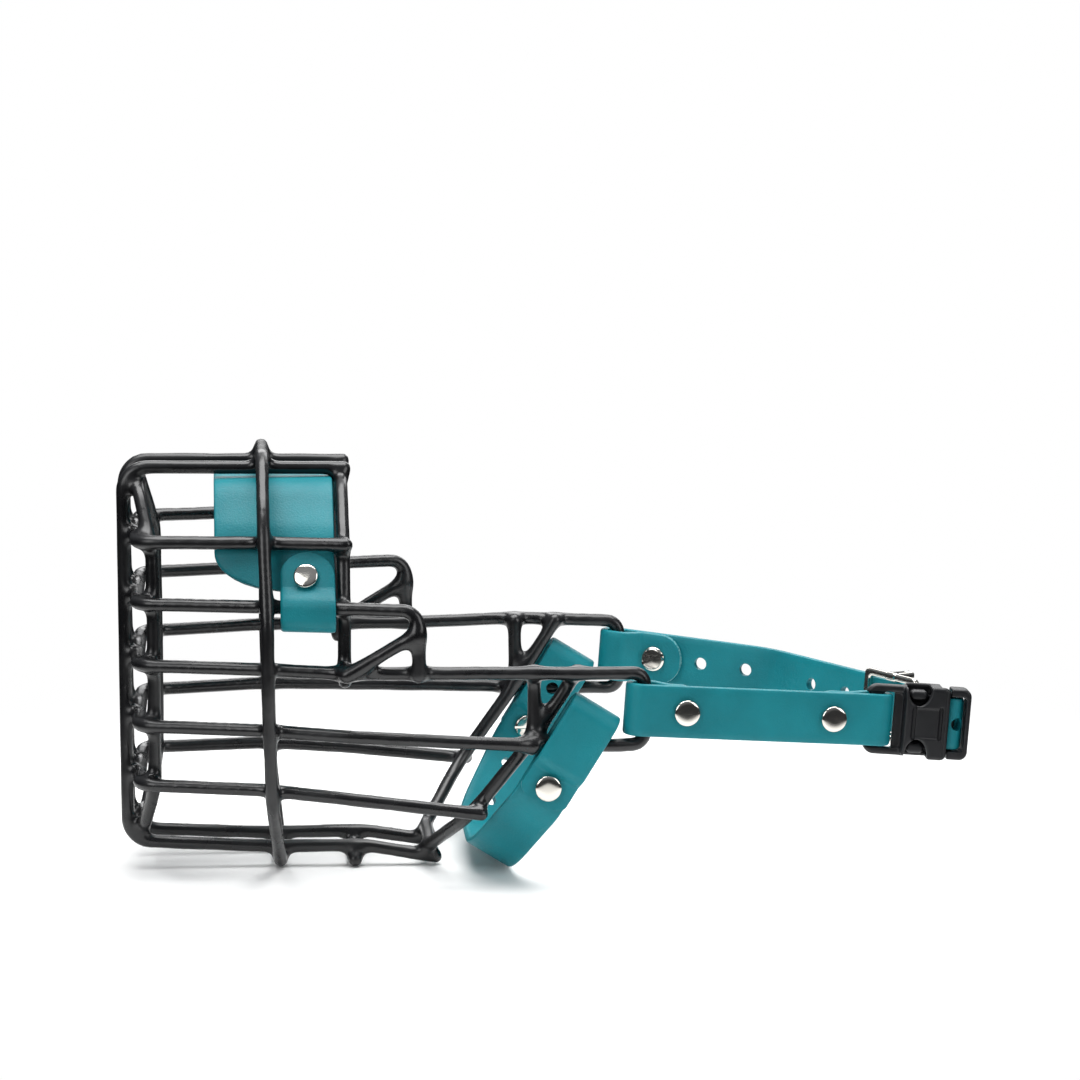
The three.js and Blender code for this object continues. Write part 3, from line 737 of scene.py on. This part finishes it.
def punch(piece, place, middles, outward, reach=6):
    """Punches a hole along outward at each middle. It goes reach millimetres to each side of it."""
    turn = Vector((0, 0, 1)).rotation_difference(direction(place, outward)).to_matrix()
    n = HOLE_SIDES
    for middle in place(middles):
        ring = circle(HOLE, -reach, n) + circle(HOLE, reach, n)
        points = [turn @ Vector(p) + Vector(middle) for p in ring]
        faces = [(k, (k + 1) % n, n + (k + 1) % n, n + k) for k in range(n)]
        faces += [tuple(range(n - 1, -1, -1)), tuple(range(n, 2 * n))]
        cut_away(piece, new_object("cutter", points, faces, webbing))


# %% [markdown]
# ## Neck strap
# The routes are drawn in plan. The strap wraps each D-loop's end bar with its tab on the inside. The left
# half ends round the bar of the buckle's ladder ring. The right half runs behind the head, round the pin in
# the buckle's male half and back through the metal slide.

# %% Neck strap routes
HOLE_PITCH = 17.5
WIRE_LOOP = 2.2 + 0.3 + STRAP / 2
BAR_LOOP = WIRE_LOOP + 0.5
FOLD_REACH = 6
RING_X0, RING_BAR, RING_HALF_Y, BUCKLE_Y = 79, 4.8, 1.6, -46.5
RING_LOOP = RING_HALF_Y + 0.3 + STRAP / 2
PIN_X, PIN_Y, PIN_R = 109, -45.3, 1.1
PIN_LOOP = PIN_R + 0.25 + STRAP / 2
SHOULDER, BACK_TURN = (53, 34.5), (PIN_X, -39.6)
RETURN_END = 42
SLIDE_AT = 25


def plan(origin, angle, along, left):
    c, s = math.cos(angle), math.sin(angle)
    return (origin[0] + along * c - left * s, origin[1] + along * s + left * c, 0)


def bar_loop(bar, angle, inside, tab):
    def at(along, left, *r):
        return (*plan(bar, angle, along, left * inside), *r)
    return [
        at(tab, PLY - BAR_LOOP), at(7.8, PLY - BAR_LOOP, 3), at(3.2, BAR_LOOP, 3),
        at(-FOLD_REACH, BAR_LOOP, BAR_LOOP), at(-FOLD_REACH, -BAR_LOOP, BAR_LOOP),
    ]


left_bar, right_bar = (0, -BAR_Y), (0, BAR_Y)
left_angle = math.atan2(BUCKLE_Y - RING_LOOP + BAR_Y + BAR_LOOP, RING_X0)
right_angle = math.radians(-24)
ring_fold = RING_X0 + RING_BAR + 1.3 + STRAP / 2
back_angle = math.atan2(SHOULDER[1] - BACK_TURN[1], SHOULDER[0] - BACK_TURN[0])
back_length = math.hypot(SHOULDER[0] - BACK_TURN[0], SHOULDER[1] - BACK_TURN[1])


def on_left(along, left=-BAR_LOOP):
    return plan(left_bar, left_angle, along, left)


def on_back(along, left):
    return plan(BACK_TURN, back_angle, along, left)


def turn_at(x, left):
    """Where a ply on the back line meets a line across at x."""
    return on_back((x - BACK_TURN[0] + left * math.sin(back_angle)) / math.cos(back_angle), left)


left_route = bend(bar_loop(left_bar, left_angle, 1, 19.5) + [
    (*on_left(78), 8),
    (ring_fold, BUCKLE_Y - RING_LOOP, 0, RING_LOOP), (ring_fold, BUCKLE_Y + RING_LOOP, 0, RING_LOOP),
    (78.4, BUCKLE_Y + RING_LOOP, 0, 3), (*on_left(72.6, PLY - BAR_LOOP), 3), on_left(58, PLY - BAR_LOOP),
], 8)
right_route = bend(bar_loop(right_bar, right_angle, -1, 24) + [
    (*on_back(back_length, -PLY / 2), 30),
    (*turn_at(PIN_X + PIN_LOOP, -PLY / 2), 4),
    (PIN_X + PIN_LOOP, PIN_Y - PIN_LOOP, 0, PIN_LOOP), (PIN_X - PIN_LOOP, PIN_Y - PIN_LOOP, 0, PIN_LOOP),
    (*turn_at(PIN_X - PIN_LOOP, PLY / 2), 4),
    on_back(RETURN_END, PLY / 2),
], 8)
left_out = (math.sin(left_angle), -math.cos(left_angle), 0)
right_out = (-math.sin(right_angle), math.cos(right_angle), 0)
back_out = (-math.sin(back_angle), math.cos(back_angle), 0)
left_screws = [on_left(along, PLY / 2 - BAR_LOOP) for along in (13.7, 66.3)]
right_screw = plan(right_bar, right_angle, 13.7, BAR_LOOP - PLY / 2)
right_holes = [plan(right_bar, right_angle, 13.7 + n * HOLE_PITCH, BAR_LOOP) for n in (1, 2)]
back_holes = [on_back(52 + n * HOLE_PITCH, -PLY / 2) for n in (0, 1)]


# %% [markdown]
# The holes are punched after the strap is folded, so they go straight through both plies. The fold round
# the buckle's pin comes where there is a hole, which is punched through the fold's outer side alone. The
# right half's place is baked into its mesh, and it is attached to no body.

# %% Neck strap pieces
FOLD_HOLE_TURN = math.radians(28)

left_strap = build_strap("neck_strap_left_webbing", left_route, (0, 0, 1), in_neck)
punch(left_strap, in_neck, left_screws, left_out)
shade_smooth(left_strap)
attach(left_strap, "neck_strap")
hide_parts("neck_strap_left")

right_strap = build_strap("neck_strap_right_webbing", right_route, (0, 0, 1), in_neck)
punch(right_strap, in_neck, [right_screw, *right_holes], right_out)
punch(right_strap, in_neck, back_holes, back_out)
fold_out = (math.sin(FOLD_HOLE_TURN), -math.cos(FOLD_HOLE_TURN), 0)
fold_hole = (PIN_X + PIN_LOOP * fold_out[0], PIN_Y + PIN_LOOP * fold_out[1], 0)
punch(right_strap, in_neck, [fold_hole], fold_out, reach=1.7)
shade_smooth(right_strap)
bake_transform(right_strap)
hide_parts("neck_strap_right", "neck_strap_back")
print("neck strap, left and right:", round(route_length(left_route)), round(route_length(right_route)), "mm")

# %% [markdown]
# ## Throat strap
# It hangs from the lower wires of the D-loops and passes under the throat. Its folds are roomier than the
# neck strap's, so that it can swing.

# %% Throat strap
THROAT_LOOP = 2.2 + 0.8 + STRAP / 2
FOLD_Z, CLAMP_Z, THROAT_SCREW_Z, TAB_END_Z = 15.6, -11.4, -16.7, -22.5
throat_route = bend(both_sides([
    (0, LOOP_Y + PLY / 2, TAB_END_Z), (0, LOOP_Y + PLY / 2, CLAMP_Z, 3),
    (0, LOOP_Y + THROAT_LOOP, -8.4, 3), (0, LOOP_Y + THROAT_LOOP, FOLD_Z, THROAT_LOOP),
    (0, LOOP_Y - THROAT_LOOP, FOLD_Z, THROAT_LOOP), (0, LOOP_Y - THROAT_LOOP, -8.4, 3),
    (0, LOOP_Y - PLY / 2, CLAMP_Z, 3), (0, LOOP_Y - PLY / 2, -24.4, 8), (0, 32, -52, 24),
]), 10)
throat_screws = [(0, s * LOOP_Y, THROAT_SCREW_Z) for s in (-1, 1)]
throat_strap = build_strap("throat_strap_webbing", throat_route, (1, 0, 0), in_throat, round_end=4)
punch(throat_strap, in_throat, [*throat_screws, (0, 52.7, THROAT_SCREW_Z + HOLE_PITCH)], (0, 1, 0))
punch(throat_strap, in_throat, [(0, 47.8, -31), (0, 37.2, -45)], (0, 0.8, -0.6))
shade_smooth(throat_strap)
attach(throat_strap, "throat_strap")
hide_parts("throat_strap")
print("throat strap:", round(route_length(throat_route)), "mm")

# %% [markdown]
# ## Nose pad
# One piece of the same coated webbing, cut wide: a pad over the nose and a narrower tab at each side. Each
# tab goes down inside the second level wire, round under it and up outside, and is screwed to itself there.
# Its route is drawn across the basket, its width runs along it, and then it is opened out towards the back,
# as the wires that hold it are.

# %% Nose pad
PAD_X0, PAD_X1, TAB_X0 = 32, 73.6, 54.6
FLARE_X, FLARE = 65, 0.0047
LEVEL_2_Y = 50.15
PAD_TOP, PAD_LEAN, PAD_SCREW_Z = 138.3, 0.47, 108.2
LEAN_Z, TAB_FOLD_Z = 102.5, 91.6  # where the pad starts to lean inwards, and the bottom of a tab's fold
TAB_LENGTH = 42  # along the route, past which the pad itself begins
PAD_SWEEP_Z, PAD_SWEEP = 116, 12  # where the front edge starts to sweep back, and over what height
pad_inner, pad_outer = LEVEL_2_Y - WIRE_LOOP, LEVEL_2_Y + WIRE_LOOP


def lean_y(z):
    return pad_inner - (z - LEAN_Z) * PAD_LEAN


pad_route = bend(both_sides([
    (FLARE_X, lean_y(116.8) + PLY, 116.8), (FLARE_X, lean_y(104.8) + PLY, 104.8, 4),
    (FLARE_X, pad_outer, 101, 4), (FLARE_X, pad_outer, TAB_FOLD_Z, WIRE_LOOP),
    (FLARE_X, pad_inner, TAB_FOLD_Z, WIRE_LOOP), (FLARE_X, pad_inner, LEAN_Z, 12),
    (FLARE_X, lean_y(123.5), 123.5, 18), (FLARE_X, 20, PAD_TOP, 18),
]), 5)
pad_length = route_length(pad_route)


def pad_front(at, here):
    inside = min(at, pad_length - at) > TAB_LENGTH
    share = min(1, max(0, (PAD_SWEEP_Z - here[2]) / PAD_SWEEP)) if inside else 1
    return PAD_X0 + (TAB_X0 - PAD_X0) * (1 - math.sqrt(1 - share * share)) - FLARE_X


def pad_back(at, here):
    return PAD_X1 - FLARE_X


def flare(points):
    points = points.copy()
    points[:, 1] *= 1 + FLARE * (points[:, 0] - FLARE_X)
    return points


tab_middle = (TAB_X0 + PAD_X1) / 2
spread = 1 + FLARE * (tab_middle - FLARE_X)
pad_screws = {s: (tab_middle, s * (lean_y(PAD_SCREW_Z) + PLY / 2) * spread, PAD_SCREW_Z) for s in (-1, 1)}
pad_out = {s: (-FLARE * lean_y(PAD_SCREW_Z), s, PAD_LEAN) for s in (-1, 1)}
nose_pad = build_strap("nose_pad_webbing", pad_route, (1, 0, 0), in_basket, pad_front, pad_back, 9.2, flare)
for s in (-1, 1):
    punch(nose_pad, in_basket, [pad_screws[s]], pad_out[s])
shade_smooth(nose_pad)
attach(nose_pad, "basket")
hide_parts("nose_pad")
print("nose pad, tab end to tab end:", round(pad_length), "mm")

# %% [markdown]
# ## Strap screws
# Each joint in the webbing is held by a two-part screw: a post with a polished dome on the outside and a
# slotted screw on the inside. Both heads are turned shapes, each drawn as half its outline from the top down.

# %% Screw heads
HEAD_RADIUS = 4.6
SEAT = (PLY + STRAP) / 2 + 0.15  # from the middle of two plies to the underside of a head
SCREW_SIDES = 48


def revolve(name, outline, sides=SCREW_SIDES):
    """A closed turned shape about Z, from its axis at the top to its axis underneath."""
    points = [(0, 0, outline[0][1])]
    for r, z in outline[1:-1]:
        points += circle(r, z, sides)
    points.append((0, 0, outline[-1][1]))
    faces = []
    for k in range(sides):
        n = (k + 1) % sides
        faces.append((0, 1 + k, 1 + n))
        for j in range(len(outline) - 3):
            a, b = 1 + j * sides, 1 + (j + 1) * sides
            faces.append((a + k, b + k, b + n, a + n))
        last = 1 + (len(outline) - 3) * sides
        faces.append((len(points) - 1, last + n, last + k))
    return new_object(name, points, faces, nickel)


def dome_outline():
    """A low dome, nearly flat in the middle and turned down quickly at its edge, on a post."""
    rise, rim_z, post = 1.35, SEAT + 0.45, 2.1
    shares = (0, 0.15, 0.3, 0.42, 0.52, 0.61, 0.69, 0.76, 0.82, 0.87, 0.91, 0.94, 0.965, 0.985)
    dome = [(HEAD_RADIUS * u, rim_z + rise * (1 - u ** 4) ** 0.25) for u in shares]
    rim = [(HEAD_RADIUS, rim_z), (HEAD_RADIUS, SEAT + 0.12), (HEAD_RADIUS - 0.12, SEAT)]
    return dome + rim + [(post, SEAT), (post, 0.3 - SEAT), (post - 0.1, 0.2 - SEAT), (0, 0.2 - SEAT)]


def screw_outline():
    """A flat head with a quarter ellipse for its edge."""
    top, wide, deep = SEAT + 1.25, 1.1, 0.9
    edge = [(HEAD_RADIUS - wide + wide * math.sin(a), top - deep + deep * math.cos(a))
            for a in np.linspace(0, 1.57, 7)]
    rim = [(HEAD_RADIUS, SEAT + 0.1), (HEAD_RADIUS - 0.1, SEAT), (2.05, SEAT), (0, SEAT)]
    return [(0, top + 0.06)] + edge + rim


dome_head = revolve("dome_head", dome_outline())
slotted_head = revolve("slotted_head", screw_outline())
slot_low, slot_high = (-6, -0.5, SEAT + 0.65), (6, 0.5, SEAT + 3)
slot_points = [(x, y, z) for x in (slot_low[0], slot_high[0]) for y in (slot_low[1], slot_high[1])
               for z in (slot_low[2], slot_high[2])]
slot_faces = [(0, 1, 3, 2), (4, 6, 7, 5), (0, 4, 5, 1), (2, 3, 7, 6), (0, 2, 6, 4), (1, 5, 7, 3)]
cut_away(slotted_head, new_object("slot_cutter", slot_points, slot_faces, nickel))
for head in (dome_head, slotted_head):
    shade_smooth(head, 35)

# %% [markdown]
# One tree of Geometry Nodes places all of them: it puts a copy of a head at each point and turns it to face
# along that point's own direction. The copies are then made real, because an export keeps only real faces.

# %% Geometry Nodes that set the screws
def make_setter():
    tree = bpy.data.node_groups.new("set_screw_heads", "GeometryNodeTree")
    for name, kind in (("Geometry", "Geometry"), ("Head", "Object"), ("Plate", "Material")):
        tree.interface.new_socket(name, in_out="INPUT", socket_type=f"NodeSocket{kind}")
    tree.interface.new_socket("Geometry", in_out="OUTPUT", socket_type="NodeSocketGeometry")
    given = add_node(tree, "NodeGroupInput")
    facing = add_node(tree, "GeometryNodeInputNamedAttribute", {"Name": "facing"}, data_type="FLOAT_VECTOR")
    width = add_node(tree, "GeometryNodeInputNamedAttribute", {"Name": "width"}, data_type="FLOAT")
    turned = add_node(tree, "FunctionNodeAlignRotationToVector", {
        "Vector": facing.outputs["Attribute"],
    }, axis="Z")
    head = add_node(tree, "GeometryNodeObjectInfo", {"Object": given.outputs["Head"]})
    scale = add_node(tree, "ShaderNodeCombineXYZ", {
        "X": width.outputs["Attribute"], "Y": width.outputs["Attribute"], "Z": 1.0,
    })
    copies = add_node(tree, "GeometryNodeInstanceOnPoints", {
        "Points": given.outputs["Geometry"], "Instance": head.outputs["Geometry"],
        "Rotation": turned.outputs["Rotation"], "Scale": scale.outputs["Vector"],
    })
    real = add_node(tree, "GeometryNodeRealizeInstances", {"Geometry": copies.outputs["Instances"]})
    plated = add_node(tree, "GeometryNodeSetMaterial", {
        "Geometry": real.outputs["Geometry"], "Material": given.outputs["Plate"],
    })
    add_node(tree, "NodeGroupOutput", {"Geometry": plated.outputs["Geometry"]})
    return tree


setter = make_setter()


def socket_id(name):
    return next(item.identifier for item in setter.interface.items_tree
                if item.item_type == "SOCKET" and item.in_out == "INPUT" and item.name == name)


def set_heads(name, head, places, body, nodes):
    """places holds (middle, direction, head radius), with the direction the head faces."""
    piece = new_object(name, [middle for middle, _, _ in places], [])
    facing = piece.data.attributes.new("facing", "FLOAT_VECTOR", "POINT")
    facing.data.foreach_set("vector", [c for _, along, _ in places for c in along])
    width = piece.data.attributes.new("width", "FLOAT", "POINT")
    width.data.foreach_set("value", [radius / HEAD_RADIUS for _, _, radius in places])
    setting = piece.modifiers.new("heads", "NODES")
    setting.node_group = setter
    setting[socket_id("Head")] = head
    setting[socket_id("Plate")] = nickel
    bake(piece)
    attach(piece, body)
    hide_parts(*nodes)
    print(name, "has", len(piece.data.polygons), "faces")


PAD_HEAD = 4.35  # the nose pad's screws are a little smaller
screw_sets = {
    "basket": [
        ("nose_pad_left", in_basket, pad_screws[-1], pad_out[-1], PAD_HEAD),
        ("nose_pad_right", in_basket, pad_screws[1], pad_out[1], PAD_HEAD),
    ],
    "neck_strap": [
        ("neck_left_front", in_neck, left_screws[0], left_out, HEAD_RADIUS),
        ("neck_left_rear", in_neck, left_screws[1], left_out, HEAD_RADIUS),
        ("neck_right", in_neck, right_screw, right_out, HEAD_RADIUS),
    ],
    "throat_strap": [
        ("throat_left", in_throat, throat_screws[0], (0, -1, 0), HEAD_RADIUS),
        ("throat_right", in_throat, throat_screws[1], (0, 1, 0), HEAD_RADIUS),
    ],
}
for body, screws in screw_sets.items():
    outward = [(p([middle])[0], direction(p, out), radius) for _, p, middle, out, radius in screws]
    inward = [(middle, -along, radius) for middle, along, radius in outward]
    set_heads(f"{body}_screw_domes", dome_head, outward, body, [f"{name}_post" for name, *_ in screws])
    set_heads(f"{body}_slotted_screws", slotted_head, inward, body, [f"{name}_screw" for name, *_ in screws])
for head in (dome_head, slotted_head):
    bpy.data.objects.remove(head)

# %% [markdown]
# ## Cast and moulded parts
# The slide is a zinc casting and the buckle is moulded, so every edge of theirs is slightly round and every
# inside corner has a fillet. The same distance fields give both: blocks with rounded edges are joined and
# cut, on a grid of about a quarter of a millimetre. The slide is a plate on the strap's inner face, open in
# the middle, with a bar on the outer face that a cheek joins to it at each end. A block that cuts reaches
# well past what it cuts, so its far faces leave no mark.

# %% Metal slide
SLIDE_VOXEL = 0.3
SLIDE_HALF, SLIDE_HALF_Z, SLIDE_BAR = 13, 12.4, 2.3
SLIDE_FACE = PLY / 2 + STRAP / 2 + 0.3  # where its bars lie on the two plies
SLIDE_MIDDLE, SLIDE_RIM = 1.6, 3  # half the plate's middle strip, and its rim
WINDOW_HALF_Z, SLOT_HALF_Z = STRAP_WIDTH / 2 + 0.6, STRAP_WIDTH / 2 + 0.5


def in_slide(points):
    """The slide is drawn along the back strap, then turned to lie on it."""
    x, y, z = np.asarray(points, float).T
    c, s = math.cos(back_angle), math.sin(back_angle)
    return in_neck(np.stack([x * c - y * s, x * s + y * c, z], -1) + on_back(SLIDE_AT, 0))


slide_field = Field((-14, -6, -13.5), (14, 6, 13.5), SLIDE_VOXEL)
grid = slide_field.grid()
near, far = SLIDE_FACE, SLIDE_FACE + SLIDE_BAR
slide = rounded_plate(grid, (-SLIDE_HALF, near, -SLIDE_HALF_Z), (SLIDE_HALF, far, SLIDE_HALF_Z), 2.4, 0.9)
for low, high in ((-SLIDE_HALF + SLIDE_RIM, -SLIDE_MIDDLE), (SLIDE_MIDDLE, SLIDE_HALF - SLIDE_RIM)):
    window = rounded_plate(grid, (low, near - 2, -WINDOW_HALF_Z), (high, far + 2, WINDOW_HALF_Z), 1.2, 0.1)
    slide = without(slide, window, 0.8)
strap_slot = rounded_block(grid, (-1.9, near - 1, -SLOT_HALF_Z), (1.9, far + 1, SLOT_HALF_Z), 0.3)
slide = without(slide, strap_slot, 0.6)
middle_bar = rounded_block(grid, (-1.5, -far, -SLIDE_HALF_Z), (1.5, -near, SLIDE_HALF_Z), 0.9)
slide = smooth_minimum(slide, middle_bar, 0.6)
for s in (-1, 1):
    low, high = sorted((s * (STRAP_WIDTH / 2 + 0.55), s * SLIDE_HALF_Z))
    cheek = rounded_block(grid, (-2.2, -far, low), (2.2, far, high), 0.9)
    slide = smooth_minimum(slide, cheek, 0.9)
strap_slide = cast("metal_slide", slide_field, slide, in_slide, nickel)
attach(strap_slide, "slide")
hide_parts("strap_slide")

# %% [markdown]
# ## Side-release buckle
# The female half is a ladder ring, which the strap wraps, and a flat socket whose sides are cut away round
# the release pads. Its outer face has a shallow panel with a deeper groove at each end.

# %% Buckle female half
BUCKLE_VOXEL = 0.28
BODY_X0, BODY_X1, BODY_BACK_X = 91.4, 107.4, 104.5
BUCKLE_HALF_Z = 12.4
SOCKET_Y0, SOCKET_Y1, SOCKET_HALF_Z = -3.1, 2.8, 11.2
GAP_HALF_Z, STRAP_WAY_HALF_Z = 9.9, 9.5
OVAL_X, OVAL_Z, OVAL_HALF_X, OVAL_HALF_Z = 96.5, 12.6, 4.1, 6.6  # the cut-away round each release pad
PANEL_X0, PANEL_X1, PANEL_Y, PANEL_HALF_Z = 94.2, 105, -4.45, 5.2
GROOVES_X, GROOVE_WIDTH, GROOVE_Y, GROOVE_HALF_Z = (94.6, 103.9), 1.1, -3.9, 6
SEAM_X0, SEAM_X1, SEAM_Y = 105.9, 106.3, -4.75


def in_buckle(points):
    return in_neck(np.asarray(points, float) + (0, BUCKLE_Y, 0))


female_field = Field((77, -6.5, -14), (109.5, 6.5, 14), BUCKLE_VOXEL)
grid = female_field.grid()
ladder = rounded_plate(grid, (78, -1.9, -BUCKLE_HALF_Z), (BODY_X0 + 4, 1.9, BUCKLE_HALF_Z), 4.2, 1.1)
ladder_gap = rounded_plate(grid, (RING_X0 + RING_BAR, -9, -GAP_HALF_Z), (BODY_X0, 9, GAP_HALF_Z), 1.8, 0.1)
body = rounded_plate(grid, (BODY_X0, -5, -12.9), (BODY_X1, 5, 12.9), 2.2, 1.3)
female = smooth_minimum(ladder, body, 1.2)
female = without(female, ladder_gap, 0.8)
gap_wall = rounded_block(grid, (88.3, -0.7, -10.6), (BODY_X0 + 1, RING_HALF_Y, 10.6), 0.4)
female = smooth_minimum(female, gap_wall, 0.5)
for y0, y1 in ((RING_HALF_Y, 9), (-9, -RING_HALF_Y)):
    beside_bar = rounded_block(grid, (70, y0, -9.8), (RING_X0 + RING_BAR + 1, y1, 9.8), 0.1)
    female = without(female, beside_bar, 0.2)
strap_way = rounded_block(grid, (60, -9, -STRAP_WAY_HALF_Z), (RING_X0 + 0.2, 9, STRAP_WAY_HALF_Z), 0.1)
female = without(female, strap_way, 0.3)
socket_low, socket_high = (BODY_X0 + 1.9, SOCKET_Y0, -SOCKET_HALF_Z), (BODY_X1 + 6, SOCKET_Y1, SOCKET_HALF_Z)
socket = rounded_block(grid, socket_low, socket_high, 0.4)
relief = rounded_block(grid, (BODY_BACK_X, SOCKET_Y0, -20), (BODY_X1 + 6, 20, 20), 0.4)
female = without(without(female, socket, 0.3), relief, 0.4)
x, y, z = grid
for s in (-1, 1):
    oval = (np.hypot((x - OVAL_X) / OVAL_HALF_X, (z - s * OVAL_Z) / OVAL_HALF_Z) - 1) * OVAL_HALF_X
    female = without(female, np.maximum(oval, y - SOCKET_Y1), 0.9)
panel = rounded_block(grid, (PANEL_X0, -9, -PANEL_HALF_Z), (PANEL_X1, PANEL_Y, PANEL_HALF_Z), 0.35)
female = without(female, panel, 0.4)
for x0 in GROOVES_X:
    groove = rounded_block(grid, (x0, -9, -GROOVE_HALF_Z), (x0 + GROOVE_WIDTH, GROOVE_Y, GROOVE_HALF_Z), 0.25)
    female = without(female, groove, 0.3)
seam = rounded_block(grid, (SEAM_X0, -9, -20), (SEAM_X1, SEAM_Y, 20), 0.05)
female = without(female, seam, 0.15)
buckle_female = cast("buckle_female_moulding", female_field, female, in_buckle, acetal)
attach(buckle_female, "neck_strap")
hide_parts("buckle_female")

# %% [markdown]
# The male half is a frame with a pin for the strap, a guide tongue and two sprung prongs. The prongs end in
# the release pads, and each is a piece of its own, because it moves when the pads are squeezed.

# %% Buckle male half and prongs
PIN_HALF_Z = 10.4
PRONG_VOXEL = 0.22

male_field = Field((94, -6, -14), (116.5, 6, 14), BUCKLE_VOXEL)
grid = male_field.grid()
pin_y = PIN_Y - BUCKLE_Y
plate = rounded_plate(grid, (103, -2.8, -10.9), (112, 2.5, 10.9), 0.8, 0.6)
rim = rounded_plate(grid, (99, -3.6, -12.6), (115, 3.4, 12.6), 2.8, 1.0)
rim = without(rim, rounded_block(grid, (90, -9, -20), (107.75, 9, 20), 0.2), 0.5)
male = smooth_minimum(plate, rim, 0.5)
male = without(male, rounded_plate(grid, (104.4, -9, -9.75), (113.3, 9, 9.75), 1.2, 0.2), 0.5)
x, y, z = grid
cross_pin = np.maximum(np.hypot(x - PIN_X, y - pin_y) - PIN_R, np.abs(z) - PIN_HALF_Z)
tongue = rounded_block(grid, (95, -1.6, -2.2), (103.8, 1.6, 2.2), 0.6)
male = smooth_minimum(smooth_minimum(male, cross_pin, 0.4), tongue, 0.4)
buckle_male = cast("buckle_male_moulding", male_field, male, in_buckle, acetal)
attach(buckle_male, "buckle_male_half")
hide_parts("buckle_male")

for prong, s in (("upper", 1), ("lower", -1)):
    (field_z0, field_z1), (arm_z0, arm_z1), (pad_z0, pad_z1) = (
        sorted((s * inner, s * outer)) for inner, outer in ((7, 13), (7.6, 9.4), (7.6, 11.1))
    )
    prong_field = Field((92.5, -4, field_z0), (103.4, 4, field_z1), PRONG_VOXEL)
    grid = prong_field.grid()
    arm = rounded_block(grid, (94.5, -1.4, arm_z0), (102.7, 1.4, arm_z1), 0.5)
    pad = rounded_plate(grid, (93.3, -2.8, pad_z0), (99.7, 2.5, pad_z1), 1.7, 1.2)
    made = cast(f"release_pad_{prong}", prong_field, smooth_minimum(arm, pad, 0.8), in_buckle, acetal)
    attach(made, f"{prong}_prong")
    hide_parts(f"release_prong_{prong}")

# %% [markdown]
# ## The room
# A pale floor that fades out into the room, a broad soft light overhead, one on each side of the camera and
# one behind. The room is white to look at, but gives less light than the lamps, so that the wires' long
# highlights and the screws' dark middles keep their shape.

# %% Floor and lights
FLOOR_HALF, FLOOR_DROP = 900, 0.3  # half its side, and how far it lies under the feet
FADE_MIDDLE = (0.09, 0, 0)
FADE_START, FADE_END = 0.17, 0.36  # metres from the middle
AIM = (0.09, 0, 0.07)


def make_floor():
    material, tree, place = new_material("pale_floor")
    shader = add_node(tree, "ShaderNodeBsdfPrincipled", {"Base Color": linear("#f4f4f3"), "Roughness": 0.75})
    away = add_node(tree, "ShaderNodeVectorMath", {0: place, 1: FADE_MIDDLE}, operation="DISTANCE")
    gone = add_node(tree, "ShaderNodeMapRange", {
        "Value": away.outputs["Value"], "From Min": FADE_START, "From Max": FADE_END,
    }, interpolation_type="SMOOTHSTEP")
    clear = add_node(tree, "ShaderNodeBsdfTransparent")
    fading = add_node(tree, "ShaderNodeMixShader", {
        0: gone.outputs["Result"], 1: shader.outputs[0], 2: clear.outputs[0],
    })
    finish_material(tree, fading)
    corners = [(x * FLOOR_HALF, y * FLOOR_HALF, -FLOOR_DROP) for x, y in ((-1, -1), (1, -1), (1, 1), (-1, 1))]
    floor = new_object("floor", corners, [(0, 1, 2, 3)], material)


def soft_light(name, place, aim, size, watts):
    light = bpy.data.lights.new(name, "AREA")
    light.shape, light.size, light.size_y, light.energy = "RECTANGLE", size[0], size[1], watts
    lamp = bpy.data.objects.new(name, light)
    lamp.location = place
    lamp.rotation_euler = (Vector(aim) - Vector(place)).to_track_quat("-Z", "Y").to_euler()
    bpy.context.scene.collection.objects.link(lamp)


make_floor()
soft_light("overhead", (0.05, 0.1, 1.5), AIM, (1.6, 1.1), 37)
soft_light("left_of_camera", (-1.2, -1.3, 0.9), AIM, (1.1, 1.1), 13)
soft_light("right_of_camera", (1.4, -1.0, 0.8), AIM, (1.0, 1.1), 9)
soft_light("behind", (0.3, 1.5, 0.9), AIM, (1.6, 0.8), 13)

world = bpy.data.worlds.new("room")
bpy.context.scene.world = world
world.use_nodes = True
tree = world.node_tree
tree.nodes.clear()
seen = add_node(tree, "ShaderNodeLightPath").outputs["Is Camera Ray"]
white = add_node(tree, "ShaderNodeBackground", {"Color": linear("#ffffff"), "Strength": 1.0})
place = add_node(tree, "ShaderNodeTexCoord").outputs["Generated"]
parts = add_node(tree, "ShaderNodeSeparateXYZ", {"Vector": place})
strength = remap(tree, parts.outputs["Z"], 0.0, 0.6, 0.05, 0.35)
dim = add_node(tree, "ShaderNodeBackground", {"Color": linear("#e4e8ee"), "Strength": strength})
both = add_node(tree, "ShaderNodeMixShader", {0: seen, 1: dim.outputs[0], 2: white.outputs[0]})
add_node(tree, "ShaderNodeOutputWorld", {"Surface": both.outputs[0]})
bpy.context.scene.view_settings.view_transform = "Standard"
